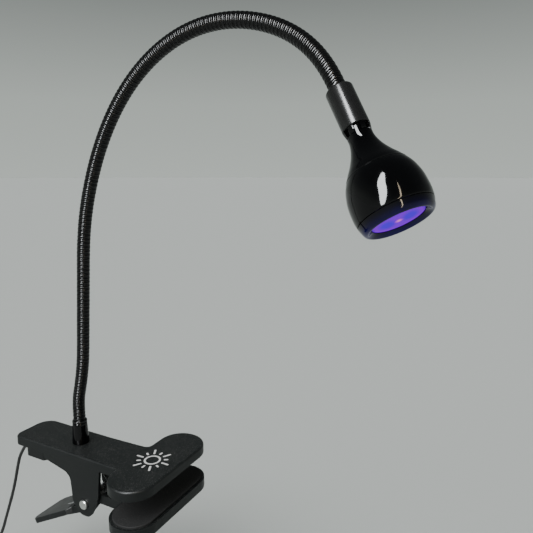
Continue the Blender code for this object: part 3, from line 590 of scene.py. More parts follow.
@dataclass(frozen=True)
class Finish:
    """A moulded, coated or metal surface with grain, smudges, worn edges and dust.

    Attributes:
        name: The material's name.
        colour: Its base colour.
        worn: The colour of its rubbed edges.
        roughness: The least and the most roughness.
        metallic: Whether it is a metal.
        grain: Grains per metre.
        depth: Height of the grain, in millimetres.
        pits: How much the grain is pitted.
        wear: How much its edges are rubbed.
        dust: How much dust lies on it.
        coat: Weight of a clear coat.
        lines: Tool lines per metre; zero leaves them out.
        specular: How strongly it mirrors; 0.5 is ordinary plastic.
    """

    name: str
    colour: Colour
    worn: Colour
    roughness: Pair
    metallic: float = 0.0
    grain: float = 900.0
    depth: float = 0.02
    pits: float = 0.4
    wear: float = 0.4
    dust: float = 0.15
    coat: float = 0.0
    lines: float = 0.0
    specular: float = 0.5

    def material(self, effects: Effects) -> bpy.types.Material:
        """The finish as a material, made on first use."""
        if self.name in bpy.data.materials:
            return bpy.data.materials[self.name]
        made, graph, shader = start_material(self.name)
        where = graph.add("TexCoord").outputs["Object"]
        worn = graph.place(effects.wear, Vector=where, Colour=self.colour, Worn=self.worn, Amount=self.wear)
        dusty = graph.place(effects.dust, Vector=where, Colour=worn.outputs["Colour"], Amount=self.dust)
        least, most = self.roughness
        smudge = graph.place(effects.smudge, Vector=where, Least=least, Most=most)
        rough = graph.math("ADD", smudge.outputs["Roughness"], graph.math("MULTIPLY", dusty.outputs["Mask"], 0.5))
        height = graph.place(effects.grain, Vector=where, Scale=self.grain, Pits=self.pits).outputs["Height"]
        if self.lines:
            lay = graph.place(effects.lay, Vector=where, Scale=self.lines)
            height = graph.math("ADD", height, lay.outputs["Height"])
        bump = graph.add("Bump", {"Height": height, "Strength": 1.0, "Distance": self.depth * MM})
        for label, value in (("Base Color", dusty.outputs["Colour"]), ("Roughness", rough),
                             ("Normal", bump.outputs["Normal"]), ("Metallic", self.metallic),
                             ("Specular IOR Level", self.specular), ("Coat Weight", self.coat),
                             ("Coat Roughness", 0.04)):
            graph.feed(shader[label], value)
        return made


@dataclass(frozen=True)
class GlowingLens:
    """The lit lens: violet at its rim, bluer inside, with a hot spot over the emitter.

    Attributes:
        name: The material's name.
        radius: The lens's radius, in millimetres.
        strength: How brightly it glows.
        bluer: The colour of its two patches.
        patch_turn: The direction from one patch to the other, as shares of the head's X and Y.
        patch_place: How far a patch's middle is from the axis, as a share of the radius.
        patch_size: A patch's reach towards the axis and across, as shares of the radius.
    """

    name: str = "lit_violet_lens"
    radius: float = 14.0
    strength: float = 0.8
    bluer: Colour = (0.09, 0.0, 1.0)
    patch_turn: Pair = (-0.82, 0.58)
    patch_place: float = 0.43
    patch_size: Pair = (0.4, 0.6)

    def material(self, effects: Effects) -> bpy.types.Material:
        """The finish as a material, made on first use."""
        if self.name in bpy.data.materials:
            return bpy.data.materials[self.name]
        made, graph, shader = start_material(self.name)
        where = graph.add("TexCoord").outputs["Object"]
        parts = graph.add("SeparateXYZ", {"Vector": where})
        across, along = parts.outputs["X"], parts.outputs["Y"]
        share = graph.math("DIVIDE", graph.length(across, along), self.radius * MM)
        ripple = graph.math("SUBTRACT", graph.noise(where, 170.0, 1.0), 0.5)
        wavy = graph.math("ADD", share, graph.math("MULTIPLY", ripple, 0.15))
        glow = graph.ramp(wavy, [(0.0, (1.0, 0.4, 0.85)), (0.09, (0.95, 0.15, 0.95)), (0.2, (0.27, 0.0, 1.0)),
                                 (0.7, (0.26, 0.0, 1.0)), (0.9, (0.3, 0.0, 1.0)), (1.0, (0.14, 0.0, 0.8))])
        haze = graph.place(effects.smudge, Vector=where, Scale=60.0, Least=0.08, Most=0.2)
        for label, value in (("Base Color", (0.02, 0.0, 0.1)), ("Specular IOR Level", 0.0),
                             ("Roughness", haze.outputs["Roughness"]), ("Emission Strength", self.strength),
                             ("Emission Color", graph.mix(self._patches(graph, across, along), glow, self.bluer))):
            graph.feed(shader[label], value)
        return made

    def _patches(self, graph: Graph, across: Input, along: Input) -> Socket:
        """The mask of two bluer patches, one on each side of the hot spot; it is 1 inside a patch."""
        size = self.radius * MM
        a, b = self.patch_turn
        inward, outward = self.patch_size

        def turned_share(x: float, y: float) -> Socket:
            """A place's share of the radius along a direction."""
            return graph.math("ADD", graph.math("MULTIPLY", across, x / size),
                              graph.math("MULTIPLY", along, y / size))

        sideways, upwards = turned_share(a, b), turned_share(b, -a)
        off = graph.math("SUBTRACT", graph.math("ABSOLUTE", sideways), self.patch_place)
        distance = graph.length(graph.math("DIVIDE", off, inward), graph.math("DIVIDE", upwards, outward))
        return graph.stretch(distance, 1.0, 0.45)


@dataclass(frozen=True)
class PaintedGlowBezel:
    """Piano black with a painted violet glow near its rim: an emission that stands in for the lens's light reflected
    there.

    Attributes:
        name: The material's name.
        start: Where the painted glow starts along the head's axis, in millimetres.
        rim: Where it is strongest.
        strength: How bright it is there.
    """

    name: str = "piano_black_painted_glow_rim"
    start: float = 79.5
    rim: float = 84.0
    strength: float = 0.05

    def material(self, effects: Effects) -> bpy.types.Material:
        """The finish as a material, made on first use."""
        if self.name in bpy.data.materials:
            return bpy.data.materials[self.name]
        made = PIANO_BLACK.material(effects).copy()
        made.name = self.name
        graph = Graph(made.node_tree)
        shader = made.node_tree.nodes["Principled BSDF"].inputs
        where = graph.add("TexCoord").outputs["Object"]
        along = graph.add("SeparateXYZ", {"Vector": where}).outputs["Z"]
        share = graph.stretch(along, self.start * MM, self.rim * MM)
        level = graph.math("MULTIPLY", share, graph.noise(where, 90.0, 1.0))
        # Painted glow: a violet emission near the lens rim, standing in for the lens's light reflected on the bezel
        glow = graph.ramp(level, [(0.0, (0.0, 0.0, 0.0)), (0.25, (0.01, 0.0, 0.15)), (0.6, (0.04, 0.0, 0.8))])
        graph.feed(shader["Emission Color"], glow)
        shader["Emission Strength"].default_value = self.strength
        return made


SATIN_BLACK = Finish("satin_black_moulding", (0.009, 0.011, 0.011), (0.06, 0.065, 0.065), (0.38, 0.5),
                     grain=1500.0, depth=0.012, wear=0.35, dust=0.3, specular=0.22)
PAD_RUBBER = Finish("black_pad_rubber", (0.01, 0.01, 0.01), (0.03, 0.03, 0.03), (0.7, 0.85), grain=700.0,
                    depth=0.04, pits=0.8, wear=0.2, dust=0.2, specular=0.3)
PIANO_BLACK = Finish("piano_black", (0.002, 0.002, 0.0025), (0.012, 0.012, 0.013), (0.04, 0.09), grain=90.0,
                     depth=0.0015, pits=0.0, wear=0.05, dust=0.03, specular=0.25)
SLEEVE_BLACK = Finish("polished_black_sleeve", (0.03, 0.03, 0.03), (0.07, 0.07, 0.07), (0.2, 0.26),
                      grain=60.0, depth=0.0005, pits=0.1, wear=0.1, dust=0.03, metallic=0.4, specular=0.3)
HOSE_LACQUER = Finish("hose_black_lacquer", (0.004, 0.004, 0.0042), (0.02, 0.02, 0.021), (0.17, 0.26),
                      grain=300.0, depth=0.0002, pits=0.0, wear=0.08, dust=0.03, specular=0.3)
ZINC_STEEL = Finish("zinc_plated_steel", (0.56, 0.56, 0.54), (0.75, 0.75, 0.74), (0.24, 0.4), metallic=1.0,
                    grain=1100.0, depth=0.006, wear=0.3, dust=0.1, lines=6000.0)
SPRING_STEEL = Finish("oiled_spring_steel", (0.34, 0.34, 0.35), (0.5, 0.5, 0.5), (0.2, 0.36), metallic=1.0,
                      grain=1600.0, depth=0.006, wear=0.2, dust=0.1)
ALUMINIUM = Finish("turned_aluminium", (0.72, 0.72, 0.73), (0.85, 0.85, 0.86), (0.28, 0.42), metallic=1.0,
                   grain=900.0, depth=0.005, wear=0.2, dust=0.05, lines=5000.0)
MIRROR_COAT = Finish("metallised_bowl", (0.86, 0.86, 0.88), (0.9, 0.9, 0.9), (0.05, 0.12), metallic=1.0,
                     grain=300.0, depth=0.003, pits=0.0, wear=0.0, dust=0.0)
SHEATH_BLACK = Finish("cord_sheath_black", (0.013, 0.013, 0.013), (0.04, 0.04, 0.04), (0.36, 0.5), grain=1300.0,
                      depth=0.01, wear=0.1, dust=0.25)
CORD_MOULDING = Finish("cord_moulding_black", (0.016, 0.016, 0.017), (0.07, 0.07, 0.07), (0.42, 0.55),
                       grain=1500.0, depth=0.014, wear=0.3, dust=0.3)
WHITE_PLASTIC = Finish("moulded_white", (0.72, 0.72, 0.7), (0.82, 0.82, 0.8), (0.3, 0.42), grain=1300.0,
                       depth=0.01, wear=0.1, dust=0.15)
RED_INSULATION = Finish("red_lead_insulation", (0.5, 0.02, 0.015), (0.6, 0.1, 0.08), (0.3, 0.42), grain=1300.0,
                        depth=0.006, wear=0.05, dust=0.05)
BOARD_WHITE = Finish("board_lacquer_white", (0.78, 0.78, 0.75), (0.5, 0.42, 0.2), (0.3, 0.4), grain=1200.0,
                     depth=0.006, wear=0.3, dust=0.05)
PHOSPHOR = Finish("emitter_dome", (0.75, 0.6, 0.16), (0.8, 0.7, 0.3), (0.1, 0.2), grain=600.0, depth=0.003,
                  wear=0.0, dust=0.0, coat=0.5)
WHITE_INK = Finish("printed_white_ink", (0.78, 0.78, 0.77), (0.5, 0.5, 0.5), (0.45, 0.6), grain=1500.0,
                   depth=0.008, wear=0.5, dust=0.0)
AnyFinish = Finish | GlowingLens | PaintedGlowBezel


@dataclass
class Workshop:
    """Dresses pieces and CAD solids, and fits new pieces to their bodies.

    Attributes:
        effects: The effects that the finishes share.
        nodes: The frame's CAD solids by name.
    """

    effects: Effects
    nodes: dict[str, Item]

    def dress(self, item: Item, finish: AnyFinish) -> None:
        """Gives an object one finish in place of what it had."""
        item.data.materials.clear()
        item.data.materials.append(finish.material(self.effects))

    def dress_nodes(self, finish: AnyFinish, rounding: float, *names: str) -> None:
        """Gives CAD solids a finish, and a small rounding where their edges are sharp.

        Args:
            finish: The finish.
            rounding: The rounding's width, in millimetres; zero leaves the edges as they are.
            *names: The CAD nodes' names.
        """
        for name in names:
            item = self.nodes[name]
            for place in item.material_slots:
                place.link = "OBJECT"
                place.material = finish.material(self.effects)
            if rounding:
                soften_edges(item, rounding, 2)

    def fit(self, item: Item, finish: AnyFinish, body: str, slot: Slot, *nodes: str) -> None:
        """Dresses a piece and makes it ride on a body, in place of CAD nodes, and reports it.

        Args:
            item: The piece.
            finish: Its finish.
            body: The body that it moves with.
            slot: The slot that its finish belongs to; not used.
            *nodes: The CAD nodes that it stands for.
        """
        self.dress(item, finish)
        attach(item, body)
        if nodes:
            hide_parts(*nodes)
        LOG.info("%s rides on %s", item.name, body)


# --- stage ---------------------------------------------------------------------------------------


@dataclass(frozen=True)
class AreaLight:
    """A soft light with an oval face, which only gloss sees.

    Attributes:
        name: The light's name.
        place: Where it stands, in millimetres.
        size: Its width and height in metres.
        power: Its power in watts.
        colour: Its colour.
    """

    name: str
    place: Point
    size: Pair
    power: float
    colour: Colour


KEY = AreaLight("key", (40.0, -900.0, 760.0), (0.32, 1.35), 62.0, (0.95, 0.98, 1.0))
STRIP = AreaLight("strip", (620.0, -560.0, 520.0), (0.04, 0.8), 2.2, (1.0, 0.84, 0.62))


@dataclass
class Stage:
    """Floor, lights and the camera.

    Attributes:
        floor_top: Height of the floor, in millimetres.
        floor_depth: Its thickness.
        floor_reach: Its radius.
        camera_place: Where the camera stands.
        camera_bearing: How far it is turned about the upright, in degrees.
        camera_tilt: How far it looks down, in degrees.
        sensor: The camera's image width, which is also its focal length, in millimetres.
        lit_place: What the area lights face.
        sun_power: Strength of the light from above.
        sun_spread: Its angle, in degrees.
        sun_turn: How far it leans about X and Y, in degrees.
    """

    floor_top: float = -120.2
    floor_depth: float = 20.0
    floor_reach: float = 40000.0
    camera_place: Point = (260.7, -302.4, 237.1)
    camera_bearing: float = 27.6
    camera_tilt: float = 10.0
    sensor: float = 36.0
    lit_place: Point = (150.0, 0.0, 200.0)
    sun_power: float = 3.0
    sun_spread: float = 70.0
    sun_turn: Pair = (22.0, -14.0)

    def build(self) -> None:
        """Makes the whole stage."""
        self._camera()
        self._floor()
        self._world()
        self._overhead()
        for light in (KEY, STRIP):
            self._area(light)

    def _camera(self) -> None:
        """The camera; its image is square."""
        data = bpy.data.cameras.new("camera")
        data.sensor_width = self.sensor
        data.lens = self.sensor
        data.clip_start = 0.01
        item = link("camera", data)
        item.location = Vector(self.camera_place) * MM
        tilt = math.radians(90.0 - self.camera_tilt)
        item.rotation_euler = (tilt, 0.0, math.radians(self.camera_bearing))
        bpy.context.scene.camera = item

    def _floor(self) -> None:
        """A plain pale floor."""
        form = prism(ring(self.floor_reach, 0.0, 96), self.floor_top - self.floor_depth, self.floor_top)
        item = solid("floor", form)
        made, graph, shader = start_material("pale_floor")
        cloud = graph.add("TexNoise", {"Scale": 1.5, "Detail": 2.0})
        tone = graph.ramp(cloud.outputs["Fac"], [(0.3, (0.53, 0.56, 0.54)), (0.7, (0.56, 0.59, 0.57))])
        for label, value in (("Base Color", tone), ("Roughness", 0.8), ("Specular IOR Level", 0.1)):
            graph.feed(shader[label], value)
        item.data.materials.append(made)

    def _world(self) -> None:
        """Pale light from all round, dimmer overhead."""
        world = bpy.data.worlds.new("studio")
        world.use_nodes = True
        graph = Graph(world.node_tree)
        where = graph.add("TexCoord").outputs["Generated"]
        height = graph.add("SeparateXYZ", {"Vector": where}).outputs["Z"]
        tone = graph.ramp(height, [(0.0, (0.5, 0.54, 0.51)), (0.12, (0.44, 0.48, 0.45)), (0.3, (0.22, 0.24, 0.23)),
                                   (0.6, (0.1, 0.11, 0.11)), (1.0, (0.08, 0.09, 0.09))])
        graph.feed(world.node_tree.nodes["Background"].inputs["Color"], tone)
        bpy.context.scene.world = world

    def _overhead(self) -> None:
        """Even light from above that gloss doesn't mirror."""
        data = bpy.data.lights.new("overhead", "SUN")
        data.energy = self.sun_power
        data.angle = math.radians(self.sun_spread)
        above = link("overhead", data)
        above.rotation_euler = (*(math.radians(turn) for turn in self.sun_turn), 0.0)
        above.visible_glossy = False

    def _area(self, light: AreaLight) -> None:
        """Places an area light."""
        data = bpy.data.lights.new(light.name, "AREA")
        data.shape = "ELLIPSE"
        data.size, data.size_y = light.size
        data.energy = light.power
        data.color = light.colour
        away = (Vector(light.place) - Vector(self.lit_place)).normalized()
        turn = away.to_track_quat("Z", "Y").to_matrix().to_4x4()
        item = link(light.name, data, Matrix.Translation(Vector(light.place)) @ turn)
        item.visible_diffuse = False


# --- cord ----------------------------------------------------------------------------------------


@dataclass
class Cord:
    """The free cord, from its bush under the handle to the plug, with its coil, tie, switch and plug."""

    shop: Workshop
    radius: float = 1.4
    spacing: float = 3.5
    clearance: float = 0.3
    floor: float = -120.0
    coil_centre: Pair = (-62.0, -52.2)
    coil_radius: float = 16.0
    coil_rows: int = 4
    coil_columns: int = 3
    coil_steps: int = 40
    coil_lift: float = 1.2
    turns: int = 11
    switch_rear: float = -148.0
    switch_front: float = -102.0
    switch_y: float = -71.0
    switch_middle: float = 6.0
    plug_rear: float = -12.0
    plug_y: float = -72.0
    plug_middle: float = 4.0
    climb_start: float = 0.64
    shift_start: float = 0.8

    @property
    def low(self) -> float:
        """Height of the cord's centre line where it lies on the surface."""
        return self.floor + self.radius

    def build(self) -> None:
        """Makes the cord and dresses what is on it."""
        route = self._route()
        cord = tube("cord", route, self.radius)
        self.shop.dress(cord, SHEATH_BLACK)
        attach(cord, "clamp")
        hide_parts("cord_drop", "cord_link", "cord_tail", "cord_coil")
        self.shop.dress_nodes(CORD_MOULDING, 0.4, "switch_base", "switch_cover", "plug_grip")
        self.shop.dress_nodes(WHITE_PLASTIC, 0.25, "switch_rocker", "plug_tongue", "coil_tie")
        self.shop.dress_nodes(ZINC_STEEL, 0.1, "plug_shell", "switch_screw_rear", "switch_screw_front")

    def _route(self) -> list[Vector]:
        """The whole centre line, from the bush to the plug."""
        drop = [(-131.6, -9.0, -1.5), (-134.6, -9.0, -2.4), (-139.5, -9.0, -7.5), (-145.7, -9.0, -16.7),
                (-149.7, -9.0, -26.2), (-154.3, -9.0, -40.1), (-159.4, -9.0, -54.3), (-165.8, -9.0, -69.4),
                (-173.4, -9.0, -86.5), (-181.4, -9.5, -105.0), (-185.6, -12.5, -113.2), (-189.6, -19.0, -117.6),
                (-190.5, -29.0, self.low), (-187.5, -42.0, self.low), (-180.5, -55.0, self.low),
                (-170.0, -65.0, self.low + 0.4), (-159.0, -70.0, self.low + 2.6),
                (self.switch_rear - self.clearance, self.switch_y, self.floor + self.switch_middle)]
        entry = self.floor + self.coil_lift + self.radius
        onward = [(self.switch_front + self.clearance, self.switch_y, self.floor + self.switch_middle),
                  (-94.0, self.switch_y, self.floor + 4.8), (-86.0, self.switch_y, self.floor + 3.4),
                  (-79.0, self.switch_y, entry), (-72.9, self.switch_y, entry), (-65.0, self.switch_y, entry)]
        top = self.floor + self.coil_lift + 2 * self.radius * self.coil_rows
        tail = [(-59.0, self.switch_y, top - self.radius), (-50.9, self.switch_y, top - self.radius - 0.2),
                (-43.0, -71.2, top - 3.0), (-34.0, -71.6, self.floor + 6.4), (-24.0, -72.0, self.floor + 4.3),
                (self.plug_rear - self.clearance, self.plug_y, self.floor + self.plug_middle)]
        before = [*smooth_route(drop, self.spacing), *smooth_route(onward, self.spacing)]
        return [*before, *self._coil(entry), *smooth_route(tail, self.spacing)]

    def _coil(self, entry: float) -> list[Vector]:
        """The coil's turns, wound in rows of three from the outside in and back out."""
        step = 2 * self.radius
        places: list[Pair] = []
        for turn in range(self.turns + 1):
            row, column = divmod(turn, self.coil_columns)
            outward = 1 - column if row % 2 == 0 else column - 1
            places.append((self.coil_radius + step * outward, entry + step * row))
        points: list[Vector] = []
        for turn in range(self.turns):
            (radius, height), (next_radius, next_height) = places[turn], places[turn + 1]
            for i in range(self.coil_steps):
                share = i / self.coil_steps
                climb = ease((share - self.climb_start) / (self.shift_start - self.climb_start))
                shift = ease((share - self.shift_start) / (1.0 - self.shift_start))
                r = radius + (next_radius - radius) * shift
                z = height + (next_height - height) * climb
                angle = FULL_TURN * (share - 0.25)
                points.append(Vector((self.coil_centre[0] + r * math.cos(angle),
                                      self.coil_centre[1] + r * math.sin(angle), z)))
        radius, height = places[-1]
        points.append(Vector((self.coil_centre[0], self.coil_centre[1] - radius, height)))
        return points


def ease(share: float) -> float:
    """A smooth step from 0 to 1."""
    share = min(1.0, max(0.0, share))
    return share * share * (3.0 - 2.0 * share)


# --- gooseneck -----------------------------------------------------------------------------------


@dataclass
class HoseLine:
    """The hose's centre line at rest."""

    start: Point = (-76.9, 0.0, 28.2)
    length: float = 471.0
    lean: tuple[Pair, ...] = ((0, -1), (13, 2), (29, 15), (74, 5), (134, 5), (194, 18), (254, 35),
                                             (314, 60), (374, 92), (471, 147))
    bearing: Pair = (-2.0, -24.0)
    turn_length: float = 90.0
    slopes: list[float] = field(default_factory=list)
    centre: list[Vector] = field(default_factory=list)

    def __post_init__(self) -> None:
        """Works out the slopes and then the line, millimetre by millimetre."""
        self.slopes = self._slopes()
        here = Vector(self.start)
        self.centre = [here.copy()]
        for step in range(int(self.length)):
            here += self.direction(step + 0.5)
            self.centre.append(here.copy())

    def _slopes(self) -> list[float]:
        """The lean's slope at each stated distance; the curve never overshoots between two of them."""
        widths = [q - p for (p, _), (q, _) in zip(self.lean, self.lean[1:])]
        rises = [(b - a) / w for (_, a), (_, b), w in zip(self.lean, self.lean[1:], widths)]

        def end(near: int, far: int) -> float:
            """The slope at one end."""
            return (((2 * widths[near] + widths[far]) * rises[near] - widths[near] * rises[far])
                    / (widths[near] + widths[far]))

        slopes = [end(0, 1)]
        for w, v, low, high in zip(widths, widths[1:], rises, rises[1:]):
            slopes.append(0.0 if low * high <= 0.0 else 3 * (w + v) / ((2 * v + w) / low + (v + 2 * w) / high))
        slopes.append(end(-1, -2))
        return slopes

    def lean_at(self, distance: float) -> float:
        """The lean from upright at a distance along the hose, in radians."""
        last = len(self.lean) - 2
        i = next((n for n in range(last) if distance <= self.lean[n + 1][0]), last)
        (start, low), (end, high) = self.lean[i], self.lean[i + 1]
        width = end - start
        t = min(1.0, (distance - start) / width)
        value = (low * (1 + 2 * t) * (1 - t) ** 2 + self.slopes[i] * width * t * (1 - t) ** 2
                 + high * t * t * (3 - 2 * t) + self.slopes[i + 1] * width * t * t * (t - 1))
        return math.radians(value)

    def bearing_at(self, distance: float) -> float:
        """The compass direction of the lean, in radians from +X towards +Y."""
        share = ease((distance - self.length + self.turn_length) / self.turn_length)
        return math.radians(self.bearing[0] + (self.bearing[1] - self.bearing[0]) * share)

    def direction(self, distance: float) -> Vector:
        """The hose's own direction at a distance along it."""
        lean, bearing = self.lean_at(distance), self.bearing_at(distance)
        return Vector((math.sin(lean) * math.cos(bearing), math.sin(lean) * math.sin(bearing), math.cos(lean)))

    def frame(self, distance: float) -> Matrix:
        """The hose's section frame: Z along it, Y along the axis that it bends forward about."""
        low = max(0, min(int(distance), len(self.centre) - 2))
        at = self.centre[low].lerp(self.centre[low + 1], distance - low)
        bearing = self.bearing_at(distance)
        return axis_place(at, self.direction(distance), (-math.sin(bearing), math.cos(bearing), 0.0))


@dataclass
class Gooseneck:
    """The wound hose: one continuous helical skin, cut into lengths that each span one joint."""

    shop: Workshop
    line: HoseLine
    links: int = 13
    radius: float = 5.1
    pitch: float = 3.15
    sides: int = 28
    lead_in: float = -3.0
    lead_out: float = 7.0
    bend_reach: float = 16.0
    # One turn of the winding: place within the pitch, height below the hose's outside
    winding: tuple[Pair, ...] = (
        (0.00, -0.55), (0.05, -0.16), (0.11, -0.05), (0.22, 0.0), (0.40, 0.0), (0.52, -0.05), (0.58, -0.16),
        (0.63, -0.5), (0.70, -0.22), (0.78, -0.16), (0.87, -0.16), (0.95, -0.24))

    def build(self) -> None:
        """Makes every length of the hose."""
        per_pitch = len(self.winding)
        marks = [self.lead_in]
        marks += [self.line.length * (n - 0.5) / self.links for n in range(2, self.links)]
        marks.append(self.line.length + self.lead_out)
        rows = [round((mark - self.lead_in) / self.pitch) * per_pitch for mark in marks]
        for number, (first, last) in enumerate(zip(rows, rows[1:]), start=1):
            item = self._length(f"hose_winding_{number:02d}", first, last)
            self.shop.dress(item, HOSE_LACQUER)
            joint = self.line.length * number / self.links
            start, end = self.line.frame(joint - self.bend_reach), self.line.frame(joint + self.bend_reach)
            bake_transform(item)
            nodes = [f"hose_link_{number:02d}"]
            if number == self.links - 1:
                nodes.append(f"hose_link_{self.links:02d}")
            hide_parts(*nodes)

    def _length(self, name: str, first: int, last: int) -> Item:
        """One length of the helical skin.

        Args:
            name: The object's name.
            first: The winding's row that it starts at.
            last: The row that it ends at.

        Returns:
            The object.
        """
        form = bmesh.new()
        per_pitch = len(self.winding)
        made: dict[tuple[int, int], bmesh.types.BMVert] = {}

        def corner(row: int, side: int) -> bmesh.types.BMVert:
            """The skin's point at a row and a side, made once; a full turn is one pitch along."""
            if side == self.sides:
                row, side = row + per_pitch, 0
            if (row, side) not in made:
                made[row, side] = form.verts.new(self._place(row, side))
            return made[row, side]

        for row in range(first, last):
            for side in range(self.sides):
                form.faces.new([corner(row, side), corner(row, side + 1), corner(row + 1, side + 1),
                                corner(row + 1, side)])
        return solid(name, form, sharp=50.0)

    def _place(self, row: int, side: int) -> Vector:
        """Where the skin is at a row of the winding and a side of the hose."""
        turn, step = divmod(row, len(self.winding))
        share, height = self.winding[step]
        round_share = side / self.sides
        along = self.lead_in + self.pitch * (turn + share + round_share)
        place = self.line.frame(along)
        if along > self.line.length:
            place = self.line.frame(self.line.length) @ Matrix.Translation((0.0, 0.0, along - self.line.length))
        elif along < 0.0:
            place = self.line.frame(0.0) @ Matrix.Translation((0.0, 0.0, along))
        radius = self.radius + height
        angle = FULL_TURN * round_share
        return place @ Vector((radius * math.cos(angle), radius * math.sin(angle), 0.0))


# --- head ----------------------------------------------------------------------------------------


@dataclass
class Head:
    """The lamp head: sleeve, slotted ring, neck, bulb, bezel and lens, along one axis."""

    shop: Workshop
    place: Matrix
    sides: int = 96
    wall: float = 1.8
    gap: float = 0.3
    seam: float = 0.12
    lip: float = 0.15
    bore: float = 4.4
    sleeve_radius: float = 7.7
    sleeve_start: float = 3.7
    sleeve_end: float = 28.3
    ring_length: float = 3.8
    slots: int = 7
    slot_share: float = 0.52
    slot_turn: float = 0.815
    slot_floor: float = 5.9
    neck_end: float = 55.0
    bulb_end: float = 79.1
    front: float = 84.8
    lens_back: float = 81.3
    lens_radius: float = 14.0
    outer: tuple[Pair, ...] = (
        (6.9, 32.7), (7.0, 36.0), (8.0, 40.0), (9.7, 44.0), (12.3, 48.5), (14.7, 52.0), (16.5, 55.0), (18.1, 58.0),
        (19.3, 61.0), (20.5, 66.0), (20.9, 71.0), (20.85, 75.5), (20.3, 79.1), (19.6, 81.5), (18.9, 83.4),
        (17.6, 84.8))

    def build(self) -> None:
        """Makes and dresses every piece of the head."""
        self._sleeve()
        self._slotted_ring()
        skin = smooth_profile(self.outer, 0.8)
        self._shell("neck", skin, self.outer[0][1], self.neck_end)
        self._shell("bulb", skin, self.neck_end + self.seam, self.bulb_end)
        self._bezel(skin)
        self._lens()
        self.shop.dress_nodes(MIRROR_COAT, 0.1, "reflector")
        self.shop.dress_nodes(BOARD_WHITE, 0.1, "led_board")
        self.shop.dress_nodes(PHOSPHOR, 0.15, "led_emitter")
        self.shop.dress_nodes(ALUMINIUM, 0.15, "heat_sink")
        self.shop.dress_nodes(ZINC_STEEL, 0.12, "led_board_screw_a", "led_board_screw_b")

    def _add(self, name: str, form: Form, finish: AnyFinish, slot: Slot, node: str) -> None:
        """Stands a form along the head's axis, and fits it to the head in place of a CAD node."""
        self.shop.fit(solid(name, form, self.place), finish, "head", slot, node)

    def _sleeve(self) -> None:
        """The metal sleeve that grips the hose."""
        radius, start, end = self.sleeve_radius, self.sleeve_start, self.sleeve_end
        outside = [(5.45, start + 0.1), (5.55, start), (6.95, start), (7.25, start + 0.12),
                   (radius - 0.08, start + 0.62), (radius, start + 0.95), (radius, end - 0.25), (radius - 0.2, end)]
        inside = [(5.0, end), (5.0, 20.0), (4.0, 19.0), (4.0, 9.5), (5.45, 9.0)]
        self._add("head_sleeve_turned", turned(outside + inside, self.sides), SLEEVE_BLACK, Slot.GLOSS,
                  "head_sleeve")

    def _slotted_ring(self) -> None:
        """The ring below the sleeve: it tapers to the neck, with a square slot between every two tabs."""
        low = self.sleeve_end + self.gap
        high = low + self.ring_length
        steps = [(low, self.bore), (low, 7.55), (low + 0.15, 7.65), (low + 0.9, 7.6), (low + 1.6, 7.38),
                 (high - 0.2, 6.98), (high, 6.8), (high, self.bore)]
        rings: list[Ring] = []
        sides = self.sides * 2
        for along, radius in steps:
            points: Ring = []
            for side in range(sides):
                share = side / sides
                in_slot = (share * self.slots + self.slot_turn) % 1.0 < self.slot_share
                reach = min(radius, self.slot_floor) if in_slot else radius
                angle = FULL_TURN * share
                points.append(Vector((reach * math.cos(angle), reach * math.sin(angle), along)))
            rings.append(points)
        self._add("neck_ring_slotted", loft(rings, closed=True), PIANO_BLACK, Slot.GLOSS, "neck_ring")

    def _shell(self, name: str, skin: Profile, low: float, high: float) -> None:
        """A length of the head's skin with its wall.

        Args:
            name: The piece's short name.
            skin: The whole outer profile.
            low: Where the piece starts along the axis.
            high: Where it ends.
        """
        end = self._radius(skin, high)
        outside = [*self._edge(skin, low), *self._between(skin, low + self.gap, high - self.gap),
                   (end, high - self.lip), (end - self.seam, high)]
        inside = [(max(radius - self.wall, self.bore), along) for radius, along in reversed(outside)]
        self._add(f"{name}_turned", turned(outside + inside, self.sides), PIANO_BLACK, Slot.GLOSS, f"{name}_shell")

    def _edge(self, skin: Profile, low: float) -> list[Pair]:
        """The softened edge that a piece of the skin starts with."""
        start = self._radius(skin, low)
        return [(start - self.seam, low), (start, low + self.lip)]

    def _between(self, skin: Profile, low: float, high: float) -> list[Pair]:
        """The skin's points between two places along the axis."""
        return [(radius, along) for radius, along in skin if low < along < high]

    def _radius(self, skin: Profile, along: float) -> float:
        """The skin's radius at a place along the axis."""
        if along <= skin[0][1]:
            return skin[0][0]
        for (r, a), (q, b) in zip(skin, skin[1:]):
            if a <= along <= b:
                return r + (q - r) * (along - a) / (b - a)
        return skin[-1][0]

    def _bezel(self, skin: Profile) -> None:
        """The front ring with its rolled lip and the funnel round the lens."""
        low = self.bulb_end + self.gap
        outside = [*self._edge(skin, low), *self._between(skin, low + self.gap, 83.0)]
        lip = [(18.9, 83.35), (18.55, 83.95), (18.1, 84.4), (17.6, 84.68), (17.1, self.front), (16.7, 84.72),
               (16.4, 84.5)]
        seat = self.lens_radius + self.gap
        funnel = [(seat + 0.15, 82.9), (seat, 82.7), (seat, self.lens_back - 0.4), (18.6, self.lens_back - 1.4),
                  (18.9, low)]
        # The bezel's finish adds a painted violet glow near the lens
        self._add("front_bezel_turned", turned(outside + lip + funnel, self.sides), PaintedGlowBezel(), Slot.GLOSS,
                  "front_bezel")

    def _lens(self) -> None:
        """The domed lens, lit from behind."""
        back, radius = self.lens_back, self.lens_radius
        edge, rise, steps = back + 1.2, 0.7, 12
        shares = [1 - k / steps for k in range(1, steps)]
        dome = [(radius * share, edge + rise * (1 - share ** 2)) for share in shares]
        profile = [(0.0, back), (radius, back), (radius, edge - 0.2), (radius - 0.2, edge), *dome,
                   (0.0, edge + rise)]
        self._add("lens_domed", turned(profile, self.sides, closed=False), GlowingLens(radius=radius), Slot.LENS,
                  "lens")


# --- clamp ---------------------------------------------------------------------------------------


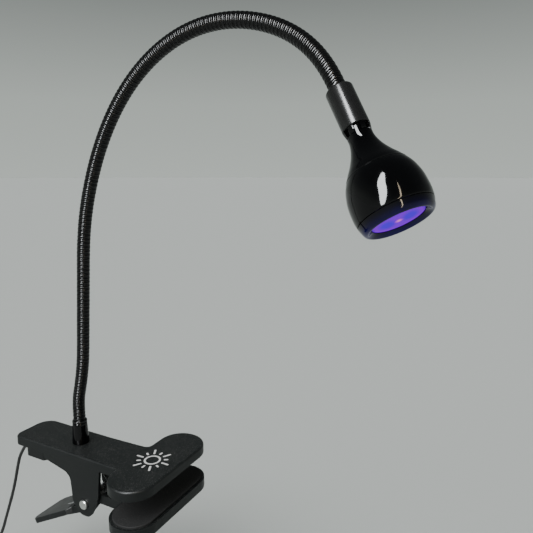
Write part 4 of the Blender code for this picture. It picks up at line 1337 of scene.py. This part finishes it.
@dataclass
class Clamp:
    """The two jaws with their pads, the pivot, the spring and what is fixed to the handle."""

    shop: Workshop
    wall: float = 2.2
    gap: float = 0.3
    pad_proud: float = 1.6
    shell_low: float = 1.6
    shell_top: float = 9.6
    rim_round: float = 1.8
    rear: float = -139.3
    half_width: float = 18.5
    jaw_depth: float = 20.0
    jaw_near: float = -40.5
    jaw_far: float = 56.5
    jaw_round: float = 19.5
    table: float = 20.0
    web: Pair = (15.4, 17.9)
    ear: Pair = (12.2, 14.6)
    pivot: Vector = field(default_factory=lambda: Vector((-58.0, 0.0, -33.0)))
    pin_hole: float = 2.35
    stud_hole: float = 4.4
    ear_reach: float = 50.0
    hollow_start: float = 55.0
    droop: float = 28.0
    handle_length: float = 77.2
    handle_thick: float = 4.5
    handle_start: float = 21.0
    handle_widens: float = 22.5
    collar_x: float = -76.9
    collar_top: float = 28.2
    mark_place: Point = (-3.5, 5.0, 9.6)
    mark_ring: Pair = (5.2, 6.8)
    rays: int = 12
    ray_start: float = 9.0
    ray_ends: Pair = (16.0, 12.8)
    ray_width: float = 1.7

    @property
    def lower_rim(self) -> float:
        """Height of the lower shell's rim."""
        return -self.table - self.pad_proud

    @property
    def lower_base(self) -> float:
        """Height of the lower shell's base."""
        return self.lower_rim - (self.shell_top - self.shell_low)

    def build(self) -> None:
        """Makes and dresses every piece of the clamp."""
        self._upper_jaw()
        self._lower_jaw()
        self._collar()
        self._mark()
        self.shop.dress_nodes(SATIN_BLACK, 0.35, "wiring_cover")
        self.shop.dress_nodes(PAD_RUBBER, 0.3, "cord_bush")
        self.shop.dress_nodes(ZINC_STEEL, 0.12, "pivot_pin", "pivot_clip", "hose_washer", "hose_nut", "hose_stud",
                              "wiring_cover_screw_near", "wiring_cover_screw_far")
        self.shop.dress_nodes(SPRING_STEEL, 0.0, "torsion_spring", "torsion_spring_lower_end")
        self.shop.dress_nodes(RED_INSULATION, 0.0, "lead_near")
        self.shop.dress_nodes(SHEATH_BLACK, 0.0, "lead_far")
        self.shop.dress_nodes(WHITE_PLASTIC, 0.1, "splice_near", "splice_far")

    def _jaw(self, inset: float = 0.0) -> list[Vector]:
        """The outline of one jaw, a bar with round ends."""
        radius, depth = self.jaw_round - inset, self.jaw_depth - inset
        low, high = self.jaw_near + inset, self.jaw_far - inset
        return rounded([(-depth, low, radius), (depth, low, radius), (depth, high, radius), (-depth, high, radius)])

    def _plate(self) -> list[Vector]:
        """The outline of the upper handle and jaw together."""
        width, depth, radius = self.half_width, self.jaw_depth, self.jaw_round
        return rounded([
            (self.rear, -width, 7.0), (-depth, -width, 1.5), (-depth, self.jaw_near, radius),
            (depth, self.jaw_near, radius), (depth, self.jaw_far, radius), (-depth, self.jaw_far, radius),
            (-depth, width + 1.5, 4.0), (self.rear + 80.0, width, 0.0), (self.rear, width, 13.0)])

    def _web(self) -> list[Vector]:
        """One web of the upper jaw, in X and Z: it narrows from the handle to a boss at the pivot."""
        x, z = self.pivot.x, self.pivot.z
        top = self.shell_top - self.wall + 0.5
        return rounded([
            (-104.0, top, 0.0), (-102.5, -3.4, 1.5), (-72.8, -9.8, 9.0), (x - 13.0, z - 1.0, 8.0),
            (x - 5.0, z - 10.5, 7.0), (x + 6.0, z - 10.5, 7.0), (x + 16.0, z + 10.0, 6.0), (-38.5, top, 0.0)])

    def _upper_jaw(self) -> None:
        """The upper shell, hollow underneath, with its two webs; and its pad."""
        pocket_top = self.shell_top - self.wall
        plate = prism(self._plate(), self.shell_low, self.shell_top, self.rim_round)
        shell = solid("upper_jaw_moulding", plate)
        length = -self.jaw_depth - self.rear - 2 * self.wall
        pocket = prism(oblong(length, 2 * (self.half_width - self.wall), 5.0), self.shell_low - 1.0, pocket_top)
        combine(shell, pocket, Joining.CUT, Matrix.Translation(((self.rear - self.jaw_depth) / 2, 0.0, 0.0)))
        combine(shell, prism(self._jaw(self.wall), self.shell_low - 1.0, pocket_top), Joining.CUT)
        self._both_sides(shell, self._web(), self.web)
        self._pin_bore(shell)
        combine(shell, cylinder(self.stud_hole, 0.0, 12.0), Joining.CUT, Matrix.Translation((self.collar_x, 0.0, 0.0)))
        self._finish(shell, SATIN_BLACK, "clamp", Slot.JAW, "upper_jaw_shell")
        pad = solid("upper_jaw_cushion", prism(self._jaw(self.wall + self.gap), 0.0, pocket_top - self.gap))
        self._finish(pad, PAD_RUBBER, "clamp", Slot.PAD, "upper_jaw_pad")

    def _both_sides(self, shell: Item, outline: list[Vector], span: Pair) -> None:
        """Joins a plate drawn in X and Z to a shell, at a span of Y and at its mirror image."""
        for side in (-1.0, 1.0):
            low, high = sorted((side * span[0], side * span[1]))
            combine(shell, prism(outline, low, high), Joining.UNION, UPRIGHT)

    def _handle_point(self, along: float, above: float) -> Pair:
        """A point of the lower handle's own section, as world X and Z."""
        c, s = math.cos(math.radians(self.droop)), math.sin(math.radians(self.droop))
        return self.pivot.x - along * c - above * s, self.pivot.z - along * s + above * c

    def _ear(self) -> list[Vector]:
        """One ear of the lower jaw, in X and Z: from the jaw, round the pivot, to under the handle."""
        x, z = self.pivot.x, self.pivot.z
        rim, base = self.lower_rim, self.lower_base
        return rounded([
            (-18.2, rim, 0.0), (-18.2, base, 0.0), (x + 14.0, base, 6.0), (x + 4.0, z - 9.5, 6.0),
            (x - 7.0, z - 11.5, 5.0), (*self._handle_point(self.ear_reach, -self.handle_thick), 0.0),
            (*self._handle_point(self.ear_reach, -0.8), 0.0), (*self._handle_point(9.0, -0.8), 0.0),
            (x - 6.0, z + 9.0, 5.0),
            (x + 7.0, z + 10.0, 5.0), (x + 20.0, rim, 4.0)])

    def _lower_jaw(self) -> None:
        """The lower shell with its ears and handle; and its pad."""
        rim, base = self.lower_rim, self.lower_base
        shell = solid("lower_jaw_moulding", prism(self._jaw(), base, rim))
        combine(shell, prism(self._jaw(self.wall), base + self.wall, rim + 1.0), Joining.CUT)
        reach = self.ear[1] - 0.4
        floor_plate = block((self.pivot.x + 10.0, -reach, base), (-18.4, reach, base + self.wall))
        combine(shell, floor_plate, Joining.UNION)
        self._both_sides(shell, self._ear(), self.ear)
        width, narrow = self.half_width, self.ear[1] - 0.2
        start, widens, length = self.handle_start, self.handle_widens, self.handle_length
        handle = rounded([
            (start, -narrow, 0.0), (widens, -narrow, 0.0), (widens + 4.0, -width, 3.0), (length, -width, 7.0),
            (length, width, 9.0), (widens + 4.0, width, 3.0), (widens, narrow, 0.0), (start, narrow, 0.0)])
        tilt = (Matrix.Translation(self.pivot) @ Matrix.Rotation(-math.radians(self.droop), 4, "Y")
                @ Matrix.Rotation(math.pi, 4, "Z"))
        combine(shell, prism(handle, -self.handle_thick, 0.0, soften=0.8), Joining.UNION, tilt)
        hollow_length = length - self.hollow_start - self.wall
        hollow = prism(oblong(hollow_length, 2 * (width - self.wall), 4.0), -self.handle_thick - 1.0, -self.wall)
        middle = Matrix.Translation((self.hollow_start + hollow_length / 2, 0.0, 0.0))
        combine(shell, hollow, Joining.CUT, tilt @ middle)
        self._pin_bore(shell)
        self._finish(shell, SATIN_BLACK, "lower_jaw", Slot.JAW, "lower_jaw_shell")
        cushion = prism(self._jaw(self.wall + self.gap), base + self.wall + self.gap, -self.table)
        self._finish(solid("lower_jaw_cushion", cushion), PAD_RUBBER, "lower_jaw", Slot.PAD, "lower_jaw_pad")

    def _pin_bore(self, shell: Item) -> None:
        """Bores a shell for the pivot pin."""
        place = axis_place(self.pivot, (0.0, 1.0, 0.0), (0.0, 0.0, 1.0))
        combine(shell, cylinder(self.pin_hole, -25.0, 25.0), Joining.CUT, place)

    def _finish(self, item: Item, finish: Finish, body: str, slot: Slot, node: str) -> None:
        """Rounds a moulding's edges and fits it to its body."""
        soften_edges(item, MOULD_ROUND)
        self.shop.fit(item, finish, body, slot, node)

    def _collar(self) -> None:
        """The tapered collar that the hose rises from, and the ring at its top."""
        low, top = self.shell_top + self.gap, self.collar_top
        place = Matrix.Translation((self.collar_x, 0.0, 0.0))
        hole, narrow, sides = self.stud_hole, 3.8, 72
        outside = [(hole, low), (6.7, low), (6.95, low + 0.25), (6.98, low + 2.0), (6.8, low + 4.0),
                   (6.1, top - 2.4), (5.95, top - 0.4), (5.7, top - 0.05), (5.4, top)]
        inside = [(narrow, top), (narrow, top - 6.0), (hole, top - 6.0)]
        collar = solid("hose_collar_turned", turned(outside + inside, sides), place)
        self.shop.fit(collar, PIANO_BLACK, "clamp", Slot.GLOSS, "hose_collar")
        base = top + self.gap
        section = [(5.35, base + 0.2), (5.55, base), (5.9, base + 0.05), (6.1, base + 0.35), (6.1, base + 1.1),
                   (5.9, base + 1.42), (5.55, base + 1.5), (5.35, base + 1.3)]
        collar_ring = solid("hose_collar_ring_turned", turned(section, sides), place)
        self.shop.fit(collar_ring, SLEEVE_BLACK, "clamp", Slot.GLOSS, "hose_collar_ring")

    def _mark(self) -> None:
        """A plain printed sign for light on the jaw: a ring with rays."""
        x, y, z = self.mark_place
        form = bmesh.new()
        low, high = z - 0.02, z + 0.05
        inner, outer = self.mark_ring
        pieces = [turned([(inner, low), (outer, low), (outer, high), (inner, high)])]
        start = self.ray_start
        for i in range(self.rays):
            reach = self.ray_ends[i % 2]
            ray = prism(oblong(reach - start, self.ray_width, self.ray_width / 2 - 0.01), low, high)
            turn = Matrix.Rotation(FULL_TURN * i / self.rays, 4, "Z")
            place = turn @ Matrix.Translation(((reach + start) / 2, 0.0, 0.0))
            bmesh.ops.transform(ray, matrix=place, verts=ray.verts)
            pieces.append(ray)
        for piece in pieces:
            mesh = bpy.data.meshes.new("mark_piece")
            piece.to_mesh(mesh)
            piece.free()
            form.from_mesh(mesh)
            bpy.data.meshes.remove(mesh)
        item = solid("light_sign_print", form, Matrix.Translation((x, y, 0.0)))
        self.shop.fit(item, WHITE_INK, "clamp", Slot.WHITE)


# --- the whole lamp ------------------------------------------------------------------------------


def main() -> None:
    """Loads the frame, builds every part of the lamp and its stage, and logs each piece that it fits to a body."""
    logging.basicConfig(level=logging.INFO, format="%(name)s: %(message)s")
    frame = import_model()
    shop = Workshop(Effects(), frame["nodes"])
    Stage().build()
    Cord(shop).build()
    line = HoseLine()
    Gooseneck(shop, line).build()
    Head(shop, line.frame(line.length)).build()
    Clamp(shop).build()


if __name__ == "__main__":
    main()
